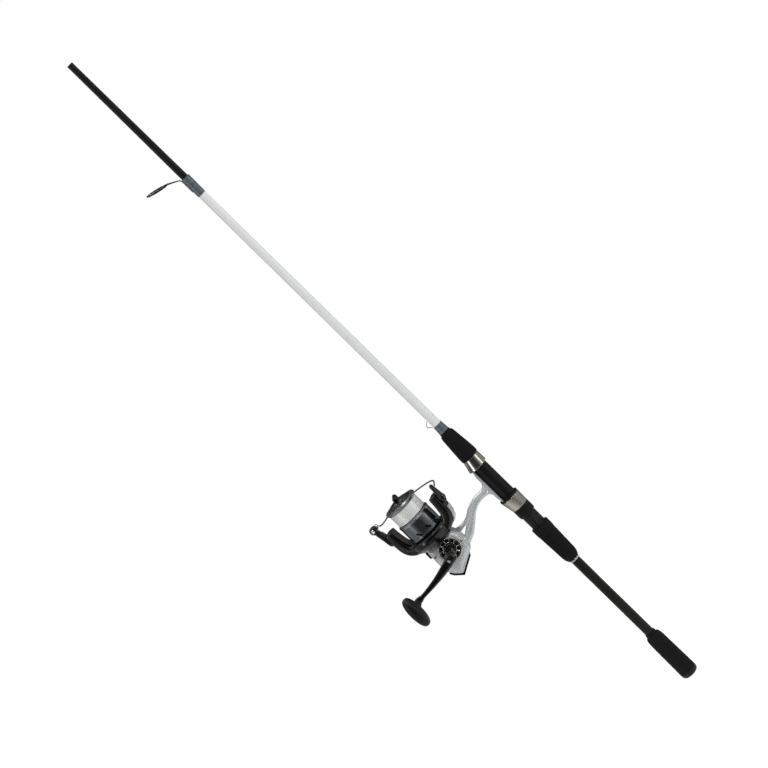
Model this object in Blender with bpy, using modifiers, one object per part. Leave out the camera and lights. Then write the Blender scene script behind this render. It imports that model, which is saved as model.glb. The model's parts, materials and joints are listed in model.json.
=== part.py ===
"""Butt section of a two-piece fishing rod with a spinning reel in its reel seat.

The rod's axis is +Z with the origin at the centre of the butt end, and the reel hangs
towards -X with its handle towards -Y. All dimensions below are in millimetres; the
builders turn them into metres.
"""
import math
from math import cos, pi, radians, sin

import bmesh
import bpy
from mathutils import Matrix, Vector

MM = 0.001
GAP = 0.3
MERGE = 0.00001

# ---------------------------------------------------------------- driving dimensions
ROD_LENGTH = 1046.2
FERRULE_R, FERRULE_BORE_R = 4.0, 3.0
SOCKET_Z, SOCKET_ROOT_R = 1010.0, 4.1
BLANK_WALL_END = 8.0
BLANK_TAPER = [(4.55, 857.0), (4.6, 840.0), (5.1, 831.5), (5.7, 439.4), (6.0, 205.0),
               (6.3, BLANK_WALL_END)]
GUIDE_WRAP_Z = (831.3, 858.8)
GUIDE_CENTRE, GUIDE_TILT = (-34.5, 0, 870.9), 13.8
GUIDE_FRAME_R, GUIDE_WIRE_R = 14.4, 0.75
BUTT_GRIP_TOP = 73.8
REAR_GRIP_Z = (205.7, 265.0)
SEAT_Z = (265.3, 383.0)
SEAT_R, BARREL_R, SEAT_BORE_R = 9.3, 9.75, 6.4
THREAD_PITCH, THREAD_TURNS = 2.0, 15
LOCKNUT_Z, REAR_HOOD_Z = (284.6, 297.7), (298.0, 314.4)
CUSHION_Z, FRONT_HOOD_Z = (314.7, 317.1), (368.3, 382.9)
HOOD_OFFSET = 1.5
FOREGRIP_Z = (383.3, 427.0)

FOOT_Z, FOOT_X, FOOT_HALF_WIDTH = (310.5, 374.5), (-13.0, -9.65), 6.0
FOOT_END_THINNING = 1.4

SPOOL_X = -99.8
ROTOR_TURN = -18.0
ARM_OUTSIDE, ARM_TOP = 43.2, 383.3
PIVOT_Z, PIVOT_BORE_R = 374.5, 2.1
ROLLER_CENTRE, ROLLER_ANGLE = (-50.2, -1.5, 23.2), 85.0
LIP_R, LIP_TOP = 22.9, 403.6
SKIRT_R, SKIRT_BOTTOM = 22.5, 355.8
HUB_R, LINE_R = 15.0, 20.8
SKIRT_SLOTS, SLOT_START, SLOT_SLANT = 9, 10.0, 45.0
SHAFT_R, SHAFT_BORE_R = 2.0, 2.3

CRANK_X, CRANK_Z = -94.6, 323.0
CRANK_SHAFT_R = 2.8
GEAR_TEETH, PINION_TEETH = 52, 10
GEAR_R, PINION_R = 13.0, 4.0
OSC_PINION_TEETH, OSC_GEAR_TEETH = 12, 24
OSC_PINION_R, OSC_GEAR_R = 4.3, 7.6
BODY_BACK, BODY_FRONT, COVER_FRONT = -14.0, 11.7, 16.5
BODY_TOP = 337.9
BODY_OUTLINE = [(-117.8, BODY_TOP), (-118.6, 306.0), (-113.0, 296.2), (-104.8, 288.6),
                (-76.5, 304.7), (-74.8, 307.0), (-74.8, 329.0), (-79.0, BODY_TOP)]
WALL = 1.7
NECK_R, NECK_TOP = 11.6, 349.2
SCREW_PLACES = ((-77.2, 320.3), (-114.8, 327.5))
LEVER_PIVOT = (-120.5, 0, 329.5)
RING_R, RING_BORE_R = 15.2, 13.0

FOLD_DEPTH = 61.5
SHANK_END = FOLD_DEPTH - 12.0
FORK_DEPTH, TONGUE_HALF = 8.8, 3.0
ARM_LENGTH, ARM_DROOP = 66.0, 8.6
KNOB_TILT = 8.0
KNOB_DEPTH = (85.0, 108.0)

FACING = (90, 0, 0)         # turns local Z to face the handle's side

# base colour, roughness and metallic value of each finish
COLORS = {
    "graphite": ((0.02, 0.02, 0.02), 0.25, 0.0),
    "foam": ((0.012, 0.012, 0.013), 0.85, 0.0),
    "wrap": ((0.09, 0.11, 0.13), 0.3, 0.0),
    "champagne": ((0.40, 0.38, 0.33), 0.3, 1.0),
    "dark_plastic": ((0.015, 0.015, 0.017), 0.35, 0.0),
    "silver_paint": ((0.42, 0.44, 0.45), 0.28, 0.8),
    "rotor_black": ((0.01, 0.01, 0.011), 0.25, 0.2),
    "gunmetal": ((0.10, 0.11, 0.12), 0.2, 1.0),
    "steel": ((0.55, 0.55, 0.56), 0.25, 1.0),
    "brass": ((0.55, 0.40, 0.16), 0.3, 1.0),
    "line": ((0.75, 0.76, 0.74), 0.35, 0.0),
    "felt": ((0.20, 0.17, 0.13), 0.9, 0.0),
    "ceramic": ((0.03, 0.03, 0.035), 0.15, 0.0),
    "rubber": ((0.01, 0.01, 0.01), 0.8, 0.0),
}


# ---------------------------------------------------------------- scene and helpers
for old in list(bpy.data.objects):
    bpy.data.objects.remove(old, do_unlink=True)

PARTS = bpy.data.collections.new("fishing_rod_and_reel")
CUTTERS = bpy.data.collections.new("cutters")
bpy.context.scene.collection.children.link(PARTS)
bpy.context.scene.collection.children.link(CUTTERS)


def material(name):
    """The Principled material of one finish, made once."""
    found = bpy.data.materials.get(name)
    if found:
        return found
    color, rough, metal = COLORS[name]
    made = bpy.data.materials.new(name)
    made.use_nodes = True
    shader = made.node_tree.nodes["Principled BSDF"]
    shader.inputs["Base Color"].default_value = (*color, 1.0)
    shader.inputs["Roughness"].default_value = rough
    shader.inputs["Metallic"].default_value = metal
    return made


def empty(name, place=(0, 0, 0), turn=(0, 0, 0), parent=None):
    """An empty on a joint's axis; place in mm and turn in degrees."""
    made = bpy.data.objects.new(name, None)
    made.location = Vector(place) * MM
    made.rotation_euler = [radians(a) for a in turn]
    made.parent = parent
    PARTS.objects.link(made)
    return made


def add(name, mesh, parent, place, turn, finish):
    """Link a mesh as a part, or as a cutter when it has no finish."""
    made = bpy.data.objects.new(name, mesh)
    made.location = Vector(place) * MM
    made.rotation_euler = [radians(a) for a in turn]
    made.parent = parent
    if finish:
        mesh.materials.append(material(finish))
        PARTS.objects.link(made)
    else:
        CUTTERS.objects.link(made)
        made.hide_render = True
        made.display_type = "WIRE"
    return made


def smooth(mesh):
    """Smooth shading with sharp edges kept."""
    mesh.shade_smooth()
    mesh.set_sharp_from_angle(angle=radians(35))


def lathe(name, profile, finish=None, parent=None, place=(0, 0, 0), turn=(0, 0, 0), steps=20,
          closed=True):
    """Turn (radius, height) points about the local Z axis.

    The points run down the outer side. A closed loop makes a ring; an open one starts and
    ends on the axis.
    """
    mesh = bpy.data.meshes.new(name)
    points = [(r * MM, 0.0, z * MM) for r, z in profile]
    edges = [(i, i + 1) for i in range(len(points) - 1)]
    if closed:
        edges.append((len(points) - 1, 0))
    mesh.from_pydata(points, edges, [])
    made = add(name, mesh, parent, place, turn, finish)
    screw = made.modifiers.new("turned", "SCREW")
    screw.steps = steps
    screw.render_steps = steps
    screw.use_merge_vertices = True
    screw.merge_threshold = MERGE
    screw.use_smooth_shade = True
    return made


def ring(name, outer, inner, bottom, top, finish=None, parent=None, place=(0, 0, 0),
         turn=(0, 0, 0), steps=20):
    """A plain turned ring."""
    profile = [(outer, top), (outer, bottom), (inner, bottom), (inner, top)]
    return lathe(name, profile, finish, parent, place, turn, steps)


def rod(name, radius, bottom, top, finish=None, parent=None, place=(0, 0, 0), turn=(0, 0, 0),
        steps=20):
    """A plain turned cylinder."""
    profile = [(0, top), (radius, top), (radius, bottom), (0, bottom)]
    return lathe(name, profile, finish, parent, place, turn, steps, closed=False)


def prism(name, outline, low, high, finish=None, parent=None, place=(0, 0, 0), turn=(0, 0, 0),
          bevel=0.0):
    """An outline in the local XY plane, extruded from low to high along local Z."""
    curve = bpy.data.curves.new(name, "CURVE")
    curve.dimensions = "2D"
    curve.fill_mode = "BOTH"
    curve.extrude = (high - low) / 2 * MM
    spline = curve.splines.new("POLY")
    spline.points.add(len(outline) - 1)
    for point, (x, y) in zip(spline.points, outline):
        point.co = (x * MM, y * MM, 0.0, 1.0)
    spline.use_cyclic_u = True
    made = add(name, mesh_of(curve, (low + high) / 2), parent, place, turn, finish)
    if bevel:
        soften(made, bevel)
    return made


def mesh_of(curve, lift=0.0):
    """The welded closed mesh of a curve, lifted along Z."""
    holder = bpy.data.objects.new("holder", curve)
    bpy.context.scene.collection.objects.link(holder)
    bpy.context.view_layer.update()
    source = holder.evaluated_get(bpy.context.evaluated_depsgraph_get())
    mesh = bpy.data.meshes.new_from_object(source)
    bpy.data.objects.remove(holder)
    body = bmesh.new()
    body.from_mesh(mesh)
    bmesh.ops.remove_doubles(body, verts=body.verts, dist=MERGE)
    bmesh.ops.translate(body, verts=body.verts, vec=(0, 0, lift * MM))
    bmesh.ops.recalc_face_normals(body, faces=body.faces)
    body.to_mesh(mesh)
    body.free()
    mesh.materials.clear()
    smooth(mesh)
    return mesh


def wire(name, points, radius, finish=None, parent=None, place=(0, 0, 0), turn=(0, 0, 0)):
    """A round wire through (x, y, z) or (x, y, z, width factor) points."""
    curve = bpy.data.curves.new(name, "CURVE")
    curve.dimensions = "3D"
    curve.bevel_depth = radius * MM
    curve.bevel_resolution = 2
    curve.use_fill_caps = True
    spline = curve.splines.new("POLY")
    spline.points.add(len(points) - 1)
    for point, values in zip(spline.points, points):
        point.co = (values[0] * MM, values[1] * MM, values[2] * MM, 1.0)
        point.radius = values[3] if len(values) > 3 else 1.0
    return add(name, mesh_of(curve), parent, place, turn, finish)


def box(name, low, high, finish=None, parent=None, place=(0, 0, 0), turn=(0, 0, 0), bevel=0.0):
    """A box between two corners."""
    body = bmesh.new()
    bmesh.ops.create_cube(body, size=1.0)
    size = [(b - a) * MM for a, b in zip(low, high)]
    middle = [(a + b) / 2 * MM for a, b in zip(low, high)]
    bmesh.ops.scale(body, vec=size, verts=body.verts)
    bmesh.ops.translate(body, vec=middle, verts=body.verts)
    mesh = bpy.data.meshes.new(name)
    body.to_mesh(mesh)
    body.free()
    made = add(name, mesh, parent, place, turn, finish)
    if bevel:
        soften(made, bevel)
    return made


def soften(part, width):
    """Chamfered edges."""
    mod = part.modifiers.new("soft_edges", "BEVEL")
    mod.width = width * MM
    mod.segments = 1
    mod.limit_method = "ANGLE"
    mod.angle_limit = radians(40)


def combine(part, operation, *tools):
    """Join or cut a part with the given tools, which become cutters."""
    for tool in tools:
        mod = part.modifiers.new(operation.lower(), "BOOLEAN")
        mod.operation = operation
        mod.solver = "EXACT"
        mod.object = tool


def union(part, *tools):
    combine(part, "UNION", *tools)


def cut(part, *tools):
    combine(part, "DIFFERENCE", *tools)


def spline_points(points, per_span=6):
    """Points of a smooth curve through the given points."""
    padded = [points[0], *points, points[-1]]
    found = []
    for i in range(1, len(padded) - 2):
        a, b, c, d = (Vector(p) for p in padded[i - 1:i + 3])
        for k in range(per_span):
            t = k / per_span
            found.append(0.5 * (2 * b + (c - a) * t + (2 * a - 5 * b + 4 * c - d) * t ** 2
                                + (3 * b - a - 3 * c + d) * t ** 3))
    found.append(Vector(points[-1]))
    return [tuple(p) for p in found]


def arc(centre, radius, start, end, count):
    """Points on a circle, angles in degrees."""
    angles = [radians(start + (end - start) * i / count) for i in range(count + 1)]
    return [(centre[0] + radius * cos(a), centre[1] + radius * sin(a)) for a in angles]


def offset(outline, distance):
    """A convex, counter-clockwise outline moved outwards by a distance."""
    count = len(outline)
    moved = []
    for i in range(count):
        before, here, after = (Vector(outline[(i + k) % count]) for k in (-1, 0, 1))
        first, second = (here - before).normalized(), (after - here).normalized()
        out_a, out_b = Vector((first.y, -first.x)), Vector((second.y, -second.x))
        mitre = (out_a + out_b).normalized()
        moved.append(tuple(here + mitre * distance / mitre.dot(out_a)))
    return moved


def gear_outline(teeth, tip, depth):
    """V-shaped teeth round a circle."""
    found = []
    for i in range(teeth):
        for part, radius in ((0.0, tip - depth), (0.5, tip)):
            a = 2 * pi * (i + part) / teeth
            found.append((radius * cos(a), radius * sin(a)))
    return found


# ---------------------------------------------------------------- rod
def make_blank():
    """The hollow blank, with its socket end as a short solid of its own."""
    top = SOCKET_Z - GAP
    outer = [(SOCKET_ROOT_R, top), *BLANK_TAPER]
    inner = [(4.4, BLANK_WALL_END), (3.3, 700.0), (FERRULE_BORE_R, top)]
    lathe("rod_blank", outer + inner, "graphite")
    socket = [(FERRULE_R - 0.35, ROD_LENGTH), (FERRULE_R, ROD_LENGTH - 0.4),
              (SOCKET_ROOT_R, SOCKET_Z), (FERRULE_BORE_R, SOCKET_Z), (FERRULE_BORE_R, ROD_LENGTH)]
    lathe("ferrule_socket", socket, "graphite")


def make_grips():
    butt = [(7.2, BUTT_GRIP_TOP), (7.4, 69.6), (9.2, 68.9), (10.3, 66.0), (10.7, 60.0), (11.0, 45.0),
            (11.3, 25.0), (11.6, BLANK_WALL_END + 0.2), (6.6, BLANK_WALL_END + 0.2),
            (6.4, BUTT_GRIP_TOP)]
    lathe("butt_grip", butt, "foam")
    cap = [(0, 7.7), (11.6, 7.7), (11.6, 5.0), (10.9, 2.6), (9.3, 0.8), (7.0, 0.0), (0, 0.0)]
    lathe("butt_cap", cap, "rubber", closed=False)
    low, top = REAR_GRIP_Z
    rear = [(11.7, top), (12.15, top - 0.6), (12.15, 253.6), (11.8, 253.0), (11.3, 240.0),
            (10.7, 222.0), (10.3, 215.0), (9.6, 210.5), (8.3, 207.2), (7.0, low), (6.35, low),
            (6.3, top)]
    lathe("rear_grip", rear, "foam")
    ring("winding_check", 6.95, 6.35, low - 2.4, low - GAP, "steel")
    low, top = FOREGRIP_Z
    fore = [(6.9, top), (7.2, top - 0.4), (7.2, 424.4), (8.8, 423.4), (9.5, 420.0), (10.4, 409.0),
            (11.3, 398.0), (11.9, 389.0), (11.9, low + 0.6), (11.5, low), (5.95, low), (5.9, top)]
    lathe("foregrip", fore, "foam")
    lathe("foregrip_wrap", [(6.2, 439.2), (7.0, 427.3), (5.87, 427.3), (5.85, 439.2)], "wrap")


def make_hook_keeper():
    route = [(-6.3, 0, 440.2), (-8.8, 0, 441.6), (-10.9, 0, 444.4), (-9.9, 0, 447.1),
             (-7.7, 0, 448.5), (-6.3, 0, 450.2)]
    wire("hook_keeper", spline_points(route, 3), 0.5, "steel")


def make_guide():
    """The stripping guide: a tilted ring on one leg with its foot under the wrap."""
    low, top = GUIDE_WRAP_Z
    wrap = lathe("guide_wrap", [(5.9, top), (6.1, top - 1.5), (5.5, low), (5.22, low), (4.9, top)],
                 "wrap")
    cut(wrap, box("guide_foot_slot", (-6.75, -1.15, 839.6), (-4.6, 1.15, top + 2)))
    tilted = (0, GUIDE_TILT, 0)
    frame_ring = ring("guide_frame", GUIDE_FRAME_R, GUIDE_FRAME_R - 2.0, -1.0, 1.0, "gunmetal",
                      place=GUIDE_CENTRE, turn=tilted, steps=24)
    leg = [(-20.9, 0, 867.9), (-15.5, 0, 865.2), (-10.0, 0, 862.2), (-6.8, 0, 860.0),
           (-5.8, 0, 857.0), (-5.7, 0, 851.0), (-5.7, 0, 840.0)]
    union(frame_ring, wire("guide_leg", spline_points(leg, 4), GUIDE_WIRE_R))
    insert = [(11.6, 1.5), (12.2, 1.0), (12.2, -1.0), (11.6, -1.5), (10.7, -0.9), (10.4, 0.0),
              (10.7, 0.9)]
    lathe("guide_insert", insert, "ceramic", place=GUIDE_CENTRE, turn=tilted, steps=24)


def make_seat():
    """Threaded barrel and smooth tube in one moulding, with its hoods and nut."""
    low, top = SEAT_Z
    profile = [(SEAT_R, top), (SEAT_R, 301.0)]
    height = 300.0
    for _ in range(THREAD_TURNS):
        profile += [(BARREL_R, height - 0.6), (BARREL_R - 0.45, height - 1.4)]
        height -= THREAD_PITCH
    profile += [(BARREL_R, height - 0.5), (BARREL_R, low), (SEAT_BORE_R, low), (SEAT_BORE_R, top)]
    lathe("reel_seat", profile, "dark_plastic", steps=20)

    low, top = LOCKNUT_Z
    nut = [(11.3, top), (11.3, low + 2.0), (10.9, low), (10.05, low), (10.05, top)]
    locknut = lathe("locknut", nut, "dark_plastic", steps=24)
    flutes = gear_flutes("locknut_flutes", 8, 11.9, 1.2, low + 2.6, top - 1.0)
    cut(locknut, flutes)

    foot_room = make_foot("foot_clearance", GAP)
    low, top = REAR_HOOD_Z
    rear = tapered_hood("rear_hood", 11.3, 0.1, 13.0, HOOD_OFFSET, low, top)
    cut(rear, rod("rear_hood_bore", 10.05, low - 1, top + 1), foot_room)
    low, top = CUSHION_Z
    cushion = tapered_hood("hood_cushion", 13.1, HOOD_OFFSET, 13.1, HOOD_OFFSET, low, top,
                           "rubber")
    cut(cushion, rod("cushion_bore", 10.05, low - 1, top + 1), foot_room)
    low, top = FRONT_HOOD_Z
    front = tapered_hood("front_hood", 13.2, HOOD_OFFSET + 0.3, 11.1, 0.1, low, top)
    cut(front, rod("front_hood_bore", SEAT_R + GAP, low - 1, top + 1), foot_room)


def tapered_hood(name, low_r, low_shift, top_r, top_shift, low, top, finish="champagne"):
    """A round hood whose centre leans towards the foot as it widens."""
    body = bmesh.new()
    bmesh.ops.create_cone(body, cap_ends=True, segments=36, radius1=low_r * MM,
                          radius2=top_r * MM, depth=(top - low) * MM)
    for vert in body.verts:
        shift = top_shift if vert.co.z > 0 else low_shift
        vert.co.x -= shift * MM
        vert.co.z += (low + top) / 2 * MM
    mesh = bpy.data.meshes.new(name)
    body.to_mesh(mesh)
    body.free()
    smooth(mesh)
    made = add(name, mesh, None, (0, 0, 0), (0, 0, 0), finish)
    soften(made, 0.5)
    return made


def gear_flutes(name, count, at, radius, low, top):
    """A ring of small upright cylinders, used as one cutter."""
    body = bmesh.new()
    for i in range(count):
        a = 2 * pi * i / count
        place = Matrix.Translation((at * cos(a) * MM, at * sin(a) * MM, (low + top) / 2 * MM))
        bmesh.ops.create_cone(body, cap_ends=True, segments=8, radius1=radius * MM,
                              radius2=radius * MM, depth=(top - low) * MM, matrix=place)
    mesh = bpy.data.meshes.new(name)
    body.to_mesh(mesh)
    body.free()
    return add(name, mesh, None, (0, 0, 0), (0, 0, 0), None)


# ---------------------------------------------------------------- reel body
def make_foot(name, grow=0.0):
    """The foot plate with thinned ends, concave on the seat side."""
    low, top = FOOT_Z
    outer, inner = FOOT_X
    thin = outer + FOOT_END_THINNING - grow
    outline = [(inner + grow, low - grow), (inner + grow, top + grow), (thin, top + grow),
               (thin, top - 7.5), (outer - grow, top - 14.0), (outer - grow, low + 14.0),
               (thin, low + 7.5), (thin, low - grow)]
    half = FOOT_HALF_WIDTH + grow
    return prism(name, outline, -half, half, None, turn=FACING)


def make_body():
    """Housing, neck, stem and foot as one casting, open on the cover side."""
    body = prism("body_frame", BODY_OUTLINE, BODY_BACK, BODY_FRONT, "silver_paint", turn=FACING)
    soften(body, 1.2)
    stem_low = [(-80.0, 303.2), (-64.5, 311.8), (-52.4, 321.2), (-42.0, 330.0), (-32.0, 334.6),
                (-20.0, 335.0), (-14.8, 332.4), (-11.6, 322.0)]
    stem_top = [(-11.6, 357.0), (-14.8, 348.0), (-20.0, 344.8), (-32.0, 344.2), (-45.8, 340.0),
                (-56.0, 334.0), (-66.0, 331.6), (-80.0, 333.0)]
    smooth_low = [(x, z) for x, z, _ in spline_points([(x, z, 0) for x, z in stem_low], 3)]
    smooth_top = [(x, z) for x, z, _ in spline_points([(x, z, 0) for x, z in stem_top], 3)]
    stem = prism("stem", smooth_low + smooth_top, -4.6, 4.6, turn=FACING, bevel=1.3)
    foot = make_foot("foot")
    union(body, stem, foot)
    neck = rod("neck", NECK_R, BODY_TOP - 1.2, NECK_TOP, place=(SPOOL_X, 0, 0))
    union(body, neck)
    cavity = prism("cavity", offset(BODY_OUTLINE, -WALL), BODY_BACK + WALL, BODY_FRONT + 1,
                   turn=FACING)
    window = prism("stem_window", [(-73.4, 318.0), (-59.4, 328.2), (-73.4, 325.4)], -8, 8,
                   turn=FACING)
    seat_round = rod("seat_round", SEAT_R + GAP, 300, 380)
    cut(body, cavity, rod("shaft_hole", CRANK_SHAFT_R + GAP, -22, -9, parent=CRANK, steps=24))
    cut(body, window, seat_round)
    cut(body, rod("bearing_seat", 8.4, 329.0, 343.4, place=(SPOOL_X, 0, 0)),
        rod("clutch_seat", 10.4, 343.4, 352.0, place=(SPOOL_X, 0, 0)))


def make_cover():
    cover = prism("side_cover", BODY_OUTLINE, BODY_FRONT + GAP, COVER_FRONT, "silver_paint",
                  turn=FACING, bevel=1.0)
    cut(cover, rod("cover_bearing_hole", 6.9, 10, 18, parent=CRANK))
    for i, (x, z) in enumerate(SCREW_PLACES, 1):
        hole = rod(f"cover_screw_hole_{i}", 1.3, 10, 18, place=(x, 0, z), turn=FACING, steps=12)
        cut(cover, hole)
        head = [(0, COVER_FRONT + 1.3), (1.5, COVER_FRONT + 1.2), (1.9, COVER_FRONT + 0.8),
                (1.9, COVER_FRONT + GAP), (1.0, COVER_FRONT + GAP), (1.0, 12.6), (0, 12.6)]
        lathe(f"cover_screw_{i}", head, "steel", place=(x, 0, z), turn=FACING, steps=10,
              closed=False)

    front = COVER_FRONT + GAP
    rim = [(13.4, front + 3.8), (RING_R, front + 2.6), (RING_R, front), (RING_BORE_R, front),
           (RING_BORE_R, front + 3.0)]
    lathe("side_ring", rim, "champagne", CRANK, steps=32)
    ring("wheel_well", 12.7, 7.6, front, front + 0.7, "dark_plastic", CRANK, steps=24)
    wheel = ring("spoke_wheel", 12.7, 7.6, front + 1.0, front + 2.4, "steel", CRANK, steps=24)
    cut(wheel, spoke_windows())
    cap = [(6.6, front + 5.0), (7.3, front + 4.2), (7.3, front), (3.5, front), (3.5, front + 5.0)]
    lathe("bearing_cap", cap, "dark_plastic", CRANK)


def spoke_windows(count=10):
    """Ten wedge openings between the spokes, as one cutter."""
    body = bmesh.new()
    for i in range(count):
        a = 2 * pi * (i + 0.5) / count
        place = Matrix.Rotation(a, 4, "Z") @ Matrix.Translation((10.2 * MM, 0, 18.5 * MM))
        made = bmesh.ops.create_cube(body, size=1.0)
        for vert in made["verts"]:
            wide = 4.4 if vert.co.x > 0 else 3.0
            vert.co = Vector((vert.co.x * 3.0 * MM, vert.co.y * wide * MM, vert.co.z * 6.0 * MM))
        bmesh.ops.transform(body, matrix=place, verts=made["verts"])
    mesh = bpy.data.meshes.new("spoke_windows")
    body.to_mesh(mesh)
    body.free()
    return add("spoke_windows", mesh, CRANK, (0, 0, 0), (0, 0, 0), None)


def make_guard():
    """Dark bumper round the rear corner of the body."""
    guard = prism("rear_guard", offset(BODY_OUTLINE, 1.7), -12.0, 14.5, "dark_plastic", turn=FACING)
    inside = prism("guard_inside", offset(BODY_OUTLINE, GAP), -30, 30, turn=FACING)
    above = box("guard_above", (-140, -30, 300.5), (-60, 30, 345))
    right = box("guard_right", (-83.0, -30, 280), (-60, 30, 345))
    cut(guard, inside, above, right)


def make_lever():
    """Anti-reverse lever on the side of the body away from the rod."""
    box("anti_reverse_lever", (-1.7, -2.2, -2.9), (1.6, 2.2, 7.1), "dark_plastic",
        place=LEVER_PIVOT, bevel=0.8)


def make_right_cap():
    """Screwed cap over the drive shaft's far end."""
    back = -BODY_BACK + GAP
    cap = [(0, -back), (8.0, -back), (8.5, -back - 0.8), (8.3, -back - 4.6), (6.6, -back - 5.8),
           (0, -back - 6.2)]
    lathe("handle_cap", cap, "dark_plastic", CRANK, closed=False)


# ---------------------------------------------------------------- drive train
def make_drive():
    drive = prism("drive_gear", gear_outline(GEAR_TEETH, GEAR_R, 0.8), 4.4, 8.0, "brass", CRANK)
    union(drive, rod("crank_shaft", CRANK_SHAFT_R, -13.4, 32.0, parent=CRANK, steps=24))
    small = prism("oscillation_pinion", gear_outline(OSC_PINION_TEETH, OSC_PINION_R, 0.7), -9.0, -6.0,
                  parent=CRANK)
    union(drive, small)
    ring("drive_bearing_cover", 6.6, CRANK_SHAFT_R + GAP, 12.3, 16.3, "steel", CRANK, steps=24)
    ring("drive_bearing_body", 6.0, CRANK_SHAFT_R + GAP, -12.0, -9.6, "steel", CRANK, steps=24)

    sleeve = rod("pinion_gear", PINION_R - 0.05, 337.4, 361.6, "brass", SPOOL, steps=24)
    union(sleeve, prism("pinion_teeth", gear_outline(PINION_TEETH, PINION_R, 0.7), 327.5, 337.8,
                        parent=SPOOL))
    cut(sleeve, rod("pinion_bore", SHAFT_BORE_R, 320, 370, parent=SPOOL, steps=24))
    ring("pinion_bearing", 8.1, PINION_R + GAP, 339.0, 343.1, "steel", SPOOL, steps=24)
    ring("one_way_clutch", 10.1, PINION_R + GAP, 343.7, 349.0, "steel", SPOOL, steps=24)

    gear = prism("oscillation_gear", gear_outline(OSC_GEAR_TEETH, OSC_GEAR_R, 0.6), -9.0, -6.0,
                 "brass", OSCILLATION)
    union(gear, rod("oscillation_axle", 2.0, -11.9, -5.6, parent=OSCILLATION, steps=16))
    slider = box("oscillation_slider", (-5.6, -4.0, 296.2), (2.2, 4.0, 302.2), "dark_plastic",
                 SPOOL)
    cut(slider, rod("slider_bore", SHAFT_BORE_R, 290, 310, parent=SPOOL, steps=16))
    rod("main_shaft", SHAFT_R, 296.4, 403.2, "steel", SPOOL, steps=20)


# ---------------------------------------------------------------- rotor and bail
def make_rotor():
    """Bowl with a central tube and two arms."""
    bowl = [(17.3, 372.0), (17.3, 354.0), (26.4, 354.0), (28.4, 352.6), (29.0, 349.5), (28.2, 345.4),
            (25.8, 341.2), (22.6, 338.8), (12.9, 338.8), (12.9, 350.2), (PINION_R + GAP, 350.2),
            (PINION_R + GAP, 356.4), (15.3, 356.4), (15.3, 372.0)]
    rotor = lathe("rotor", bowl, "rotor_black", ROTOR, steps=32)
    arm = [(16.2, 340.0), (24.6, 339.6), (32.0, 342.0), (38.2, 347.6), (41.6, 354.8), (43.0, 363.0),
           (ARM_OUTSIDE, ARM_TOP - 2), (ARM_OUTSIDE - 2, ARM_TOP), (35.0, ARM_TOP),
           (33.0, ARM_TOP - 2), (31.4, 366.0), (29.0, 358.6), (25.2, 353.4), (16.2, 352.8)]
    for name, turn in (("right", 0), ("left", 180)):
        upright = prism(f"rotor_arm_{name}", arm, -10.5, 10.5, None, ROTOR, turn=(90, 0, turn),
                        bevel=2.0)
        union(rotor, upright)
    for side in (1, -1):
        hole = rod(f"pivot_hole_{side}", PIVOT_BORE_R, 36.0, 50.0, None, BAIL,
                   turn=(0, 90 * side, 0), steps=16)
        cut(rotor, hole)
    nut = prism("rotor_nut", arc((0, 0), 6.8, 0, 300, 5), 356.8, 361.0, "steel", ROTOR)
    cut(nut, rod("nut_bore", PINION_R + GAP, 350, 365, parent=ROTOR, steps=24))

    contour = [(43.0, 363.0), (41.6, 354.8), (38.2, 347.6), (34.0, 343.8)]
    outside = [(x + 1.5, z - 0.8) for x, z in contour]
    inside = [(x + 0.35, z - 0.2) for x, z in reversed(contour)]
    prism("rotor_trim", outside + inside, -5.0, 5.0, "silver_paint", ROTOR, turn=FACING)


def hull_arm(name, discs, finish, parent, turn, count=20):
    """The tight skin round two upright discs: each is (near, far, across, height, radius)."""
    body = bmesh.new()
    for near, far, across, height, radius in discs:
        for depth in (near, far):
            for y, z in arc((across, height), radius, 0, 360 - 360 / count, count - 1):
                body.verts.new((depth * MM, y * MM, z * MM))
    bmesh.ops.convex_hull(body, input=body.verts)
    loose = [vert for vert in body.verts if not vert.link_faces]
    bmesh.ops.delete(body, geom=loose, context="VERTS")
    bmesh.ops.dissolve_limit(body, angle_limit=radians(2), verts=body.verts, edges=body.edges)
    mesh = bpy.data.meshes.new(name)
    body.to_mesh(mesh)
    body.free()
    smooth(mesh)
    made = add(name, mesh, parent, (0, 0, 0), turn, finish)
    soften(made, 0.7)
    return made


def along_roller(distance):
    """A point on the line roller's axis, from the centre of its mount."""
    axis = Vector((cos(radians(ROLLER_ANGLE)), sin(radians(ROLLER_ANGLE)), 0.0))
    return Vector(ROLLER_CENTRE) + axis * distance


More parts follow.
